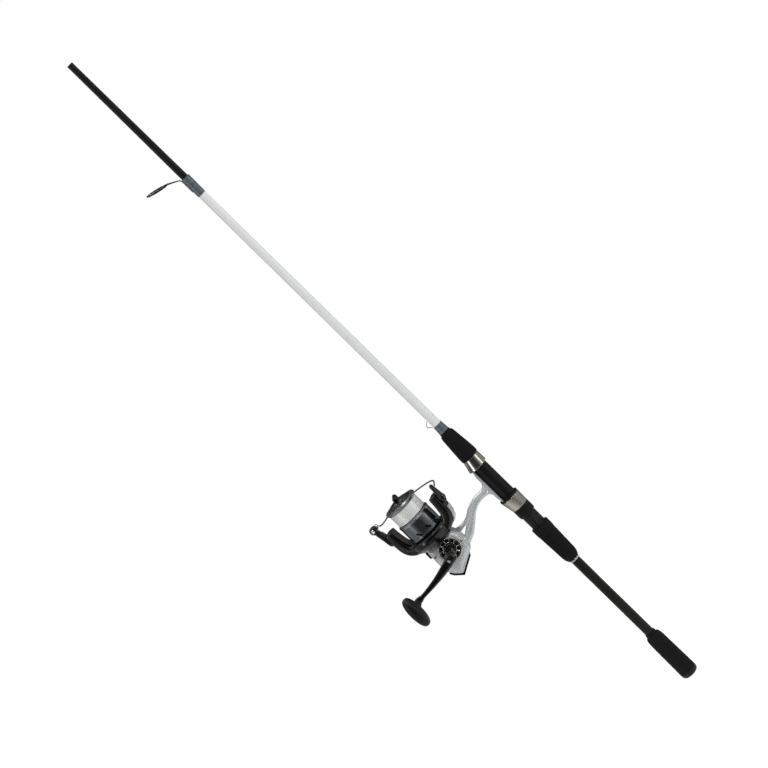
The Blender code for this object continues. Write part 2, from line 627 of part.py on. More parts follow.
def make_bail():
    """Two bail arms, the wire between them and the line roller, on the pivots' axis."""
    near = ARM_OUTSIDE + 0.4
    discs = ((near, near + 4.0, 0, 0, 7.4), (near + 3.8, near + 8.2, 1.5, 22.6, 4.9))
    arm = hull_arm("bail_arm", discs, "rotor_black", BAIL, (0, 0, 180))
    roller_turn = (0, 90, ROLLER_ANGLE)
    union(arm, rod("roller_mount", 5.1, -3.2, 3.0, None, BAIL, ROLLER_CENTRE, roller_turn, 24))
    room = [(0, 9.6), (9.0, 9.6), (9.0, 3.0), (1.6, 3.0), (1.6, -2.6), (3.0, -2.6), (3.0, -12.0),
            (0, -12.0)]
    pivot = [(0, 60.0), (4.0, 60.0), (4.0, 47.6), (PIVOT_BORE_R, 47.6), (PIVOT_BORE_R, 40.0),
             (0, 40.0)]
    cut(arm, lathe("roller_room", room, None, BAIL, ROLLER_CENTRE, roller_turn, 16, closed=False),
        lathe("bail_pivot_bore", pivot, None, BAIL, turn=(0, -90, 0), steps=16, closed=False))
    groove = [(3.6, 8.2), (4.2, 7.6), (3.2, 5.8), (4.2, 4.0), (3.6, 3.4), (1.6, 3.4), (1.6, 8.2)]
    lathe("line_roller", groove, "steel", BAIL, ROLLER_CENTRE, roller_turn, 24)
    screw = [(0, 10.2), (1.3, 10.2), (1.3, -2.7), (2.6, -2.7), (2.6, -3.9), (2.0, -4.5), (0, -4.6)]
    lathe("roller_screw", screw, "steel", BAIL, ROLLER_CENTRE, roller_turn, 16, closed=False)

    discs = ((near, near + 3.2, 0, 0, 7.0), (near, near + 3.2, -0.5, 17.5, 3.4))
    other = hull_arm("bail_arm_opposite", discs, "rotor_black", BAIL, (0, 0, 0))
    cut(other, rod("opposite_pivot_bore", PIVOT_BORE_R, 40.0, 52.0, None, BAIL, turn=(0, 90, 0),
                   steps=16))

    start, neck = (tuple(along_roller(d)) for d in (8.6, 11.0))
    route = [(-48.9, 12.2, 22.0), (-48.2, 14.6, 19.6), (-46.4, 18.2, 18.2), (-43.2, 23.0, 18.2),
             (-38.0, 29.0, 19.1), (-30.0, 34.5, 19.5), (-18.0, 38.6, 19.3), (-3.0, 39.8, 18.8),
             (12.0, 38.0, 18.4), (26.0, 33.6, 18.2), (38.0, 25.0, 18.4), (46.4, 13.0, 18.8),
             (50.0, 4.0, 19.2), (50.6, -0.2, 18.4), (49.6, -0.6, 16.8), (47.3, -0.6, 16.2)]
    path = [(*start, 3.1), (*neck, 3.0)] + [(*p, 1.0) for p in spline_points(route, 2)]
    bail_wire = wire("bail_wire", path, 0.95, "gunmetal", BAIL)
    cut(bail_wire, rod("wire_socket", 1.6, 6.0, 10.6, None, BAIL, ROLLER_CENTRE, roller_turn,
                       16))

    for name, side, outside in (("bail_screw_left", -1, 47.9), ("bail_screw_right", 1, 47.1)):
        profile = [(0, outside + 2.0), (3.0, outside + 1.8), (3.6, outside + 1.2), (3.6, outside),
                   (1.8, outside), (1.8, 37.0), (0, 37.0)]
        lathe(name, profile, "steel", BAIL, turn=(0, 90 * side, 0), steps=20, closed=False)


# ---------------------------------------------------------------- spool and drag
def make_spool():
    profile = [(16.7, LIP_TOP), (21.9, LIP_TOP - 0.2), (LIP_R, 401.6), (21.6, 399.2),
               (HUB_R, 399.0), (HUB_R, 381.4), (21.6, 381.2), (23.1, 379.6), (22.3, 377.6),
               (SKIRT_R, 364.0), (22.1, SKIRT_BOTTOM), (20.9, SKIRT_BOTTOM), (20.7, 377.2),
               (2.5, 377.2), (2.5, 390.9), (12.6, 390.9), (12.6, 400.6), (16.4, 400.9)]
    spool = lathe("spool", profile, "gunmetal", SPOOL, steps=28)
    cut(spool, skirt_slots())
    ring("wound_line", LINE_R, HUB_R + GAP, 381.7, 398.7, "line", SPOOL, steps=24)
    for i, (low, top, finish) in enumerate(((391.2, 392.2, "felt"), (392.5, 393.3, "steel"),
                                            (393.6, 394.6, "felt")), 1):
        ring(f"drag_washer_{i}", 12.3, 2.5, low, top, finish, SPOOL, steps=20)
    knob = [(0, 408.0), (7.0, 407.6), (12.4, 406.2), (15.4, 404.4), (16.1, 402.9), (15.6, 401.3),
            (11.8, 401.0), (11.8, 394.9), (2.5, 394.9), (2.5, 403.5), (0, 403.5)]
    drag = lathe("drag_knob", knob, "dark_plastic", SPOOL, steps=24, closed=False)
    union(drag, box("drag_fin", (-3.2, -11.5, 404.0), (3.2, 11.5, 414.6), None, SPOOL, bevel=1.4))
    ratchet = prism("click_ratchet", gear_outline(16, 8.0, 0.8), 373.6, 376.8, "dark_plastic", SPOOL)
    cut(ratchet, rod("ratchet_bore", 2.4, 370, 380, parent=SPOOL, steps=16))


def skirt_slots():
    """Slanted drain slots near the skirt's rear edge, as one cutter."""
    body = bmesh.new()
    for i in range(SKIRT_SLOTS):
        spot = (Matrix.Rotation(radians(SLOT_START) + 2 * pi * i / SKIRT_SLOTS, 4, "Z")
                @ Matrix.Translation((SKIRT_R * MM, 0, 362.0 * MM))
                @ Matrix.Rotation(radians(SLOT_SLANT), 4, "X"))
        made = bmesh.ops.create_cube(body, size=1.0)
        bmesh.ops.scale(body, vec=(6 * MM, 2.3 * MM, 7.4 * MM), verts=made["verts"])
        bmesh.ops.transform(body, matrix=spot, verts=made["verts"])
    mesh = bpy.data.meshes.new("skirt_slots")
    body.to_mesh(mesh)
    body.free()
    return add("skirt_slots", mesh, SPOOL, (0, 0, 0), (0, 0, 0), None)


# ---------------------------------------------------------------- handle
def make_handle():
    """Shank on the drive shaft, folding arm and turning knob."""
    start = COVER_FRONT + GAP + 5.3
    shank = [(0, SHANK_END), (4.5, SHANK_END), (5.0, SHANK_END - 1.5), (6.5, 34.0), (6.9, 27.0),
             (6.9, start), (CRANK_SHAFT_R + GAP, start), (CRANK_SHAFT_R + GAP, 32.3), (0, 32.3)]
    handle = lathe("handle_shank", shank, "rotor_black", CRANK, closed=False)
    tongue = box("shank_tongue", (-TONGUE_HALF, -2.2, -13.0), (TONGUE_HALF, 2.2, 3.4), None, FOLD,
                 bevel=0.9)
    union(handle, tongue)
    pin_turn = (90, 0, 0)
    cut(handle, rod("tongue_bore", 1.6, -8, 8, None, FOLD, turn=pin_turn, steps=16))
    rod("fold_pin", 1.3, -5.5, 5.5, "steel", FOLD, turn=pin_turn, steps=16)

    half = [(-2.0, 5.7), (-16.0, 5.4), (-30.0, 4.3), (-44.0, 3.3), (-58.0, 2.7)]
    upper = [(x, y + bow(x)) for x, y in half]
    lower = [(x, -y + bow(x)) for x, y in reversed(half)]
    tip = [(-ARM_LENGTH + 4.4 * cos(radians(a)), 4.4 * sin(radians(a))) for a in range(60, 301, 24)]
    root = arc((0, 0), 5.7, -75, 75, 6)
    arm = prism("handle_arm", root + upper + tip + lower, -3.2, 3.2, "rotor_black", FOLD, bevel=0.9)
    cut(arm, box("fork_room", (-FORK_DEPTH, -2.5, -9), (9, 2.5, 9), None, FOLD),
        rod("fork_bore", 1.6, -8, 8, None, FOLD, turn=pin_turn, steps=16),
        rod("spindle_bore", 2.3, -8, 8, None, KNOB, steps=16))

    low, top = (d - FOLD_DEPTH for d in KNOB_DEPTH)
    spindle = [(0, top - 5.0), (2.0, top - 5.0), (2.0, 4.8), (3.4, 4.8), (3.4, 4.0), (2.0, 4.0),
               (2.0, -3.2), (0, -3.2)]
    lathe("knob_spindle", spindle, "steel", KNOB, steps=20, closed=False)
    make_knob(low, top)


def bow(x):
    """Slight bow of the arm in its own plane."""
    return -2.0 * sin(pi * min(1.0, -x / ARM_LENGTH)) if x < 0 else 0.0


def make_knob(low, top):
    """An oval paddle with a collar, which turns on its spindle."""
    body = bmesh.new()
    bmesh.ops.create_uvsphere(body, u_segments=16, v_segments=10, radius=1.0)
    for vert in body.verts:
        p = vert.co.copy()
        vert.co.x = 7.8 * MM * math.copysign(abs(p.x) ** 0.8, p.x)
        vert.co.y = 21.3 * MM * p.y
        vert.co.z = ((low + top) / 2 + (top - low) / 2 * math.copysign(abs(p.z) ** 0.8, p.z)) * MM
    mesh = bpy.data.meshes.new("handle_knob")
    body.to_mesh(mesh)
    body.free()
    smooth(mesh)
    knob = add("handle_knob", mesh, KNOB, (0, 0, 0), (0, 0, 0), "rubber")
    neck = lathe("knob_neck", [(0, low + 8), (5.4, low + 8), (4.7, low - 4), (4.5, 5.2), (0, 5.2)],
                 None, KNOB, steps=24, closed=False)
    union(knob, neck)
    cut(knob, rod("knob_bore", 2.3, low - 20, top - 4.6, None, KNOB, steps=16))


SPOOL = empty("spool_axis", (SPOOL_X, 0, 0))
ROTOR = empty("rotor_axis", (SPOOL_X, 0, 0), (0, 0, ROTOR_TURN))
BAIL = empty("bail_axis", (0, 0, PIVOT_Z), parent=ROTOR)
CRANK = empty("crank_axis", (CRANK_X, 0, CRANK_Z), FACING)
OSCILLATION_Z = CRANK_Z - OSC_PINION_R - OSC_GEAR_R - GAP
OSCILLATION = empty("oscillation_axis", (CRANK_X, 0, OSCILLATION_Z), FACING)
FOLD = empty("fold_axis", (0, 0, FOLD_DEPTH), (0, 0, ARM_DROOP), parent=CRANK)
KNOB = empty("knob_axis", (-ARM_LENGTH, 0, 0), (0, -KNOB_TILT, -ARM_DROOP), parent=FOLD)

make_blank()
make_grips()
make_hook_keeper()
make_guide()
make_seat()
make_body()
make_cover()
make_guard()
make_lever()
make_right_cap()
make_drive()
make_rotor()
make_bail()
make_spool()
make_handle()
bpy.context.view_layer.update()
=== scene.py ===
"""The looks of a spinning rod's butt section and its reel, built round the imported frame.

The rod stands on +Z, the reel hangs towards -X and its handle faces -Y. Shapes are given
in millimetres from the boxes and joints of the frame, and stored in metres.
"""
import json
from math import atan2, cos, pi, radians, sin, tan

import bmesh
import bpy
import numpy as np
from mathutils import Matrix, Vector


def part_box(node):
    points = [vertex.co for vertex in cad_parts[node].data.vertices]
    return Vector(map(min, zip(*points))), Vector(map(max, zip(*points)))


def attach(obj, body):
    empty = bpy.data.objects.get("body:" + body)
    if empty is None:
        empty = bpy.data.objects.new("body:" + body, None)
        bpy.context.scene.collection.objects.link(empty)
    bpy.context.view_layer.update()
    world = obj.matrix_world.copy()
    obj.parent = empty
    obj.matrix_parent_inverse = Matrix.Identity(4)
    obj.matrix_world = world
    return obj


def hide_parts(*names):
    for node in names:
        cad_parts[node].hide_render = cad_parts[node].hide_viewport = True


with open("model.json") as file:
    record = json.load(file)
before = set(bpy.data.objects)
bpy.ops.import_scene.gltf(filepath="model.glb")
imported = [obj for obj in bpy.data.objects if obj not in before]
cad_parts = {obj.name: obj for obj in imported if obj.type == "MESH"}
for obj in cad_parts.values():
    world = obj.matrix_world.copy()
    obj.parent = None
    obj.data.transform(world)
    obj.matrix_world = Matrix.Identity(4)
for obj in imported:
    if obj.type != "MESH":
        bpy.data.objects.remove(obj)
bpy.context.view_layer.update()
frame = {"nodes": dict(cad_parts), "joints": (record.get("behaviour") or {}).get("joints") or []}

MM = 0.001
JOINTS = {joint["name"]: joint for joint in frame["joints"]}


# ---------------------------------------------------------------- places from the frame
def joint_place(name):
    """Where a hinge is, in metres."""
    return Vector(JOINTS[name]["pos_m"])


def heights(node):
    """Lowest and highest Z of a node, in mm."""
    low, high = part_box(node)
    return low.z / MM, high.z / MM


def facing(place):
    """A frame whose local Z points to the handle's side and whose Y points up."""
    return Matrix.Translation(place) @ Matrix.Rotation(pi / 2, 4, "X")


SPOOL_PLACE = joint_place("rotor_turn")
BAIL_AXIS = Vector(JOINTS["bail_flip"]["axis"])
FOLD_AXIS = Vector(JOINTS["handle_fold"]["axis"])
ROTOR_TURN = Matrix.Rotation(atan2(BAIL_AXIS.y, BAIL_AXIS.x), 4, "Z")
CRANK_PLACE = joint_place("crank_turn")
FOLD_PLACE = joint_place("handle_fold")
KNOB_PLACE = joint_place("knob_spin")
KNOB_AXIS = Vector(JOINTS["knob_spin"]["axis"])

ROD = Matrix.Identity(4)
SPOOL = Matrix.Translation((SPOOL_PLACE.x, SPOOL_PLACE.y, 0))
ROTOR = SPOOL @ ROTOR_TURN
BAIL = Matrix.Translation(joint_place("bail_flip")) @ ROTOR_TURN
CRANK = facing(CRANK_PLACE)
FOLD = facing(FOLD_PLACE) @ Matrix.Rotation(atan2(-FOLD_AXIS.x, FOLD_AXIS.z), 4, "Z")
KNOB = facing(KNOB_PLACE) @ Matrix.Rotation(atan2(KNOB_AXIS.x, -KNOB_AXIS.y), 4, "Y")
ARM_LENGTH = (KNOB_PLACE - FOLD_PLACE).length / MM


# ---------------------------------------------------------------- materials
def start_material(name, color, rough, metal=0.0, coat=0.0, anisotropy=0.0, shine=0.5):
    """A Principled material with its constants set on the shader itself."""
    made = bpy.data.materials.new(name)
    made.use_nodes = True
    shader = made.node_tree.nodes["Principled BSDF"]
    constants = {"Base Color": (*color, 1.0), "Roughness": rough, "Metallic": metal,
                 "Coat Weight": coat, "Coat Roughness": 0.08, "Anisotropic": anisotropy,
                 "Specular IOR Level": shine}
    for socket, value in constants.items():
        shader.inputs[socket].default_value = value
    return made


def noise(made, scale, stretch=(1, 1, 1), detail=4.0):
    """Noise in the piece's own coordinates; scale is cycles a metre."""
    nodes, links = made.node_tree.nodes, made.node_tree.links
    coords = nodes.new("ShaderNodeTexCoord")
    mapping = nodes.new("ShaderNodeMapping")
    mapping.inputs["Scale"].default_value = stretch
    texture = nodes.new("ShaderNodeTexNoise")
    texture.inputs["Scale"].default_value = scale
    texture.inputs["Detail"].default_value = detail
    links.new(coords.outputs["Object"], mapping.inputs["Vector"])
    links.new(mapping.outputs["Vector"], texture.inputs["Vector"])
    return texture.outputs["Fac"]


def cells(made, scale):
    """Closed cells, as in foam; scale is cells a metre."""
    nodes, links = made.node_tree.nodes, made.node_tree.links
    coords = nodes.new("ShaderNodeTexCoord")
    texture = nodes.new("ShaderNodeTexVoronoi")
    texture.inputs["Scale"].default_value = scale
    links.new(coords.outputs["Object"], texture.inputs["Vector"])
    return texture.outputs["Distance"]


def spread(made, source, low, high, socket):
    """Map a 0..1 source to a range of colours or values on one shader input."""
    nodes, links = made.node_tree.nodes, made.node_tree.links
    shader = nodes["Principled BSDF"]
    if socket == "Base Color":
        ramp = nodes.new("ShaderNodeValToRGB")
        ramp.color_ramp.elements[0].position = 0.3
        ramp.color_ramp.elements[1].position = 0.7
        ramp.color_ramp.elements[0].color = (*low, 1.0)
        ramp.color_ramp.elements[1].color = (*high, 1.0)
        links.new(source, ramp.inputs["Fac"])
        links.new(ramp.outputs["Color"], shader.inputs[socket])
        return
    scaled = nodes.new("ShaderNodeMapRange")
    scaled.inputs["From Min"].default_value = 0.3
    scaled.inputs["From Max"].default_value = 0.7
    scaled.inputs["To Min"].default_value = low
    scaled.inputs["To Max"].default_value = high
    links.new(source, scaled.inputs["Value"])
    links.new(scaled.outputs["Result"], shader.inputs[socket])


def bump(made, source, depth_mm, strength=0.5):
    """Fine relief below what the geometry holds."""
    nodes, links = made.node_tree.nodes, made.node_tree.links
    node = nodes.new("ShaderNodeBump")
    node.inputs["Strength"].default_value = strength
    node.inputs["Distance"].default_value = depth_mm * MM
    links.new(source, node.inputs["Height"])
    links.new(node.outputs["Normal"], nodes["Principled BSDF"].inputs["Normal"])


def shade(color, factor):
    """A colour made darker or lighter."""
    return tuple(min(1.0, c * factor) for c in color)


def finish(name, color, rough, metal=0.0, coat=0.0, anisotropy=0.0, shine=0.5, grain=600.0,
           stretch=(1, 1, 1), variation=0.15, wear=0.06, relief=0.02):
    """A finish whose colour, roughness and relief all vary at the given grain."""
    made = start_material(name, color, rough, metal, coat, anisotropy, shine)
    broad = noise(made, grain / 8, stretch)
    fine = noise(made, grain, stretch, 2.0)
    spread(made, broad, shade(color, 1 - variation), shade(color, 1 + variation), "Base Color")
    spread(made, fine, max(0.03, rough - wear), rough + wear, "Roughness")
    bump(made, fine, relief)
    return made


def foam(name, color, rough):
    """Closed-cell foam: pinhole cells over slow mottling."""
    made = start_material(name, color, rough, shine=0.12)
    spread(made, noise(made, 900.0), shade(color, 0.6), shade(color, 1.6), "Base Color")
    spread(made, noise(made, 300.0), rough - 0.1, rough + 0.1, "Roughness")
    bump(made, cells(made, 2600.0), 0.12, 0.6)
    return made


BLANK_BLACK = finish("blank_black", (0.006, 0.006, 0.005), 0.42, shine=0.15, grain=900,
                     stretch=(1, 1, 0.05), variation=0.35, relief=0.001)
BLANK_WHITE = finish("blank_white", (0.74, 0.76, 0.755), 0.42, coat=0.1, grain=500,
                     stretch=(1, 1, 0.2), variation=0.03, relief=0.001)
THREAD_GREY = finish("wrap_thread", (0.075, 0.10, 0.118), 0.38, coat=0.2, grain=2500,
                     stretch=(0.2, 0.2, 1), variation=0.3, relief=0.002)
CHAMPAGNE = finish("champagne_metal", (0.41, 0.395, 0.345), 0.2, metal=1.0, grain=1200,
                   stretch=(1, 1, 0.04), variation=0.08, wear=0.03, relief=0.0004)
SEAT_BLACK = finish("seat_plastic", (0.004, 0.004, 0.0045), 0.42, shine=0.18, grain=1500,
                    variation=0.3, relief=0.003)
SILVER = finish("body_silver", (0.52, 0.54, 0.55), 0.36, metal=0.4, grain=900,
                variation=0.05, wear=0.03, relief=0.0004)
GLOSS_BLACK = finish("rotor_gloss", (0.003, 0.003, 0.0035), 0.2, coat=0.1, shine=0.3,
                     grain=500, variation=0.3, wear=0.04, relief=0.0006)
GUNMETAL = finish("gunmetal", (0.15, 0.16, 0.162), 0.26, metal=1.0, anisotropy=0.4, grain=1200,
                  stretch=(0.3, 0.3, 1), variation=0.15, wear=0.04, relief=0.0006)
SKIRT_GLOSS = finish("skirt_gloss", (0.17, 0.185, 0.20), 0.2, metal=0.95, coat=0.3,
                     grain=600, variation=0.15, wear=0.03, relief=0.0004)
DARK_CHROME = finish("dark_chrome", (0.10, 0.10, 0.105), 0.2, metal=1.0, grain=900,
                     variation=0.1, wear=0.04, relief=0.0006)
BRIGHT_CHROME = finish("bright_chrome", (0.62, 0.62, 0.61), 0.14, metal=1.0, grain=900,
                       variation=0.06, wear=0.03, relief=0.0006)
STEEL = finish("steel", (0.42, 0.42, 0.42), 0.28, metal=1.0, grain=900, variation=0.1,
               wear=0.04, relief=0.0008)
BRASS = finish("brass", (0.55, 0.40, 0.16), 0.3, metal=1.0, grain=1800, variation=0.12)
LINE = finish("wound_monofilament", (0.70, 0.71, 0.695), 0.4, metal=0.3, grain=1500,
              stretch=(0.15, 0.15, 1), variation=0.06, relief=0.001)
RUBBER = finish("rubber", (0.004, 0.004, 0.004), 0.45, shine=0.2, grain=2000, variation=0.35,
                relief=0.02)
CERAMIC = finish("ceramic", (0.02, 0.02, 0.022), 0.12, coat=0.3, grain=900, variation=0.2,
                 relief=0.003)
FELT = finish("felt", (0.20, 0.17, 0.13), 0.95, grain=3000, variation=0.3, relief=0.1)
FOAM = foam("grip_foam", (0.0045, 0.0045, 0.0045), 0.75)


# ---------------------------------------------------------------- mesh tools
def rounded(points, radius, closed=True, count=4):
    """A 2D outline with its corners turned into arcs of about the given radius."""
    found = []
    total = len(points)
    for i, point in enumerate(points):
        if not closed and i in (0, total - 1):
            found.append(tuple(point))
            continue
        here = Vector(point)
        back = Vector(points[i - 1]) - here
        ahead = Vector(points[(i + 1) % total]) - here
        reach = min(back.length, ahead.length) * 0.45
        angle = back.angle(ahead, pi) if back.length and ahead.length else pi
        if reach < 1e-4 or angle > radians(176):
            found.append(tuple(point))
            continue
        cut = min(reach, radius / tan(angle / 2))
        first = here + back.normalized() * cut
        last = here + ahead.normalized() * cut
        for k in range(count + 1):
            t = k / count
            found.append(tuple(first.lerp(here, t).lerp(here.lerp(last, t), t)))
    return found


def smooth_path(points, per_span=8):
    """Points of a smooth curve through the given points."""
    padded = [points[0], *points, points[-1]]
    found = []
    for i in range(1, len(padded) - 2):
        a, b, c, d = (Vector(p) for p in padded[i - 1:i + 3])
        for k in range(per_span):
            t = k / per_span
            found.append(0.5 * (2 * b + (c - a) * t + (2 * a - 5 * b + 4 * c - d) * t ** 2
                                + (3 * b - a - 3 * c + d) * t ** 3))
    found.append(Vector(points[-1]))
    return found


def link(name, data):
    """A new object in the scene."""
    made = bpy.data.objects.new(name, data)
    bpy.context.scene.collection.objects.link(made)
    return made


def grid_object(name, rings, place, around=False):
    """A closed skin through equal rings of points: a ring shape, or capped at both ends."""
    points = np.array(rings, float)
    count, steps, _ = points.shape
    faces = []
    for i in range(count if around else count - 1):
        for j in range(steps):
            k, after = (i + 1) % count, (j + 1) % steps
            faces.append((i * steps + j, i * steps + after, k * steps + after, k * steps + j))
    if not around:
        faces.append(tuple(range(steps))[::-1])
        faces.append(tuple((count - 1) * steps + j for j in range(steps)))
    mesh = bpy.data.meshes.new(name)
    mesh.from_pydata((points.reshape(-1, 3) * MM).tolist(), [], faces)
    mesh.transform(place)
    body = bmesh.new()
    body.from_mesh(mesh)
    bmesh.ops.remove_doubles(body, verts=body.verts, dist=1e-7)
    bmesh.ops.recalc_face_normals(body, faces=body.faces)
    body.to_mesh(mesh)
    body.free()
    return link(name, mesh)


def turned(name, profile, place=ROD, steps=96, closed=True, corner=0.3, relief=None, lean=None):
    """Turn (radius, height) points about the local Z axis, with softened corners.

    relief(angles, height, radius) moves the surface out, and lean(height) shifts a ring
    towards -X.
    """
    outline = rounded(profile, corner, closed) if corner else profile
    angles = np.linspace(0, 2 * pi, steps, endpoint=False)
    rings = []
    for radius, height in outline:
        reach = np.full(steps, max(radius, 0.001))
        if relief:
            reach = reach + relief(angles, height, radius)
        shift = lean(height) if lean else 0.0
        ring = np.stack([reach * np.cos(angles) - shift, reach * np.sin(angles),
                         np.full(steps, height)], axis=1)
        rings.append(ring)
    return grid_object(name, rings, place, closed)


def cylinder(radius, top, low):
    """The profile of a plain solid cylinder."""
    return [(0, top), (radius, top), (radius, low), (0, low)]


def drill(profile, place=ROD, steps=96):
    """A turned cutting tool with sharp corners."""
    return turned("drill", profile, place, steps, closed=False, corner=0)


def dense(start, end, step):
    """Evenly spaced profile points between two (radius, height) ends."""
    count = max(1, int(abs(end[1] - start[1]) / step))
    return [(start[0] + (end[0] - start[0]) * i / count,
             start[1] + (end[1] - start[1]) * i / count) for i in range(count + 1)]


def block(name, low, high, place=ROD, corner=0.5):
    """A box with rounded upright edges, between two corners."""
    outline = rounded([(low[0], low[1]), (high[0], low[1]), (high[0], high[1]),
                       (low[0], high[1])], corner)
    rings = []
    for height, inset in ((low[2], corner), (low[2] + corner, 0.0), (high[2] - corner, 0.0),
                          (high[2], corner)):
        middle = Vector(((low[0] + high[0]) / 2, (low[1] + high[1]) / 2))
        half = Vector(((high[0] - low[0]) / 2, (high[1] - low[1]) / 2))
        scale = (max(0.1, 1 - inset / half.x), max(0.1, 1 - inset / half.y))
        rings.append([(middle.x + (x - middle.x) * scale[0],
                       middle.y + (y - middle.y) * scale[1], height) for x, y in outline])
    return grid_object(name, rings, place)


def inset_outline(outline, distance, radius, count=6):
    """A convex outline moved inwards, with round corners."""
    total = len(outline)
    centre = sum((Vector(p) for p in outline), Vector((0, 0))) / total
    moved = []
    for i in range(total):
        before, here, after = (Vector(outline[(i + k) % total]) for k in (-1, 0, 1))
        first, second = (here - before).normalized(), (after - here).normalized()
        out_a, out_b = Vector((first.y, -first.x)), Vector((second.y, -second.x))
        if out_a.dot(here - centre) < 0:
            out_a, out_b = -out_a, -out_b
        mitre = (out_a + out_b).normalized()
        moved.append(tuple(here - mitre * distance / mitre.dot(out_a)))
    return rounded(moved, max(0.3, radius - distance), True, count)


def slab(name, outline, levels, place, radius=3.0):
    """A convex outline built up in (inset, depth) levels along local Z."""
    rings = []
    for inset, depth in levels:
        rings.append([(x, y, depth) for x, y in inset_outline(outline, inset, radius)])
    return grid_object(name, rings, place)


def superellipse(half_wide, half_high, power, count=32):
    """A rounded section, round at power 2 and squarer above."""
    found = []
    for i in range(count):
        a = 2 * pi * i / count
        c, s = cos(a), sin(a)
        found.append((half_wide * np.sign(c) * abs(c) ** (2 / power),
                      half_high * np.sign(s) * abs(s) ** (2 / power)))
    return found


def tube(name, points, radii, place=ROD, sides=20):
    """A round wire through points; radii is one number or one for each point."""
    path = [Vector(p) for p in points]
    sizes = radii if isinstance(radii, (list, tuple)) else [radii] * len(path)
    tangents = [(path[min(i + 1, len(path) - 1)] - path[max(i - 1, 0)]).normalized()
                for i in range(len(path))]
    side = tangents[0].orthogonal().normalized()
    rings = []
    for point, tangent, size in zip(path, tangents, sizes):
        side = (side - tangent * side.dot(tangent)).normalized()
        other = tangent.cross(side)
        rings.append([tuple(point + (side * cos(2 * pi * k / sides)
                                     + other * sin(2 * pi * k / sides)) * size)
                      for k in range(sides)])
    return grid_object(name, rings, place)


def apply_modifier(part, kind, **values):
    """Add one modifier and keep its result as the mesh."""
    mod = part.modifiers.new(kind.lower(), kind)
    for key, value in values.items():
        setattr(mod, key, value)
    bpy.context.view_layer.update()
    source = part.evaluated_get(bpy.context.evaluated_depsgraph_get())
    mesh = bpy.data.meshes.new_from_object(source)
    part.modifiers.clear()
    part.data = mesh
    return part


def join(part, *tools, operation="UNION"):
    """Join or cut a part with tools, which are used up."""
    for tool in tools:
        apply_modifier(part, "BOOLEAN", operation=operation, solver="EXACT", object=tool)
        bpy.data.objects.remove(tool)
    return part


def cut(part, *tools):
    return join(part, *tools, operation="DIFFERENCE")


def cast(part, voxel, passes=4):
    """Melt a part's joins into small fillets, as on a casting."""
    apply_modifier(part, "REMESH", mode="VOXEL", voxel_size=voxel * MM)
    return apply_modifier(part, "SMOOTH", factor=0.5, iterations=passes)


def show(part, body, materials, nodes, sharp=40.0):
    """Give a finished piece its materials, body and the nodes it stands for."""
    many = materials if isinstance(materials, (list, tuple)) else [materials]
    part.data.materials.clear()
    for made in many:
        part.data.materials.append(made)
    part.data.shade_smooth()
    part.data.set_sharp_from_angle(angle=radians(sharp))
    apply_modifier(part, "WEIGHTED_NORMAL", keep_sharp=True)
    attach(part, body)
    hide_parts(*nodes)
    return part


def paint(part, index, chosen):
    """Give the faces whose centre passes the test another of the piece's materials."""
    for face in part.data.polygons:
        if chosen(face.center / MM):
            face.material_index = index


# ---------------------------------------------------------------- rod
def make_blank():
    low, _ = heights("rod_blank")
    _, top = heights("ferrule_socket")
    white_low = heights("foregrip_wrap")[1]
    white_top = heights("guide_wrap")[0]
    wrap_top = heights("guide_wrap")[1]
    grip_low = heights("rear_grip")[0]
    outer = [(3.65, top), (4.0, top - 0.4), *dense((4.02, top - 6), (4.55, wrap_top), 30),
             (4.6, white_top + 8.7), (5.1, white_top),
             *dense((5.1, white_top - 0.2), (5.7, white_low + 0.2), 30), (5.7, white_low),
             (6.0, grip_low), (6.3, low)]
    blank = turned("blank_tube", outer + [(4.4, low), (3.3, 700.0), (3.0, top)], corner=0.0,
                   steps=64)
    show(blank, "rod", [BLANK_BLACK, BLANK_WHITE], ["rod_blank", "ferrule_socket"])
    paint(blank, 1, lambda c: white_low < c.z < white_top)


def ridge(phase, power):
    """Rounded ridges from 0 to 1, narrower at a higher power."""
    return (0.5 + 0.5 * np.cos(phase)) ** power


def thread_turns(pitch, height):
    """Turns of thread laid side by side."""
    def relief(angles, z, radius):
        return height * np.cos(2 * pi * (z / pitch - angles / (2 * pi)))
    return relief


def make_wraps():
    """Two windings of thread; the turns show only outside the radius of each bore."""
    step = 0.11
    turns = thread_turns(0.55, 0.025)
    low, top = heights("guide_wrap")
    outer = [*dense((5.9, top), (5.95, top - 1.5), step),
             *dense((5.95, top - 1.6), (5.5, low), step)]
    wrap = turned("guide_thread_wrap", outer + [(5.2, low), (4.9, top)], corner=0.0, steps=64,
                  relief=lambda a, z, r: turns(a, z, r) * (r > 5.4))
    show(wrap, "rod", THREAD_GREY, ["guide_wrap"], 80)
    low, top = heights("foregrip_wrap")
    outer = dense((6.1, top), (6.9, low), step)
    wrap = turned("grip_thread_wrap", outer + [(5.87, low), (5.85, top)], corner=0.0, steps=64,
                  relief=lambda a, z, r: turns(a, z, r) * (r > 6))
    show(wrap, "rod", THREAD_GREY, ["foregrip_wrap"], 80)


def diamond_grooves(around, pitch, depth, other, low, top):
    """Two crossing sets of carved grooves between two heights; other is the second's share."""
    def relief(angles, z, radius):
        if radius < 8 or not low < z < top:
            return np.zeros_like(angles)
        edge = min(1.0, (z - low) / 1.0, (top - z) / 1.0)
        turn = around * angles / (2 * pi)
        rising = ridge(2 * pi * (z / pitch - turn), 4)
        falling = ridge(2 * pi * (z / pitch + turn), 4)
        return -depth * edge * np.minimum(1.0, rising + other * falling)
    return relief


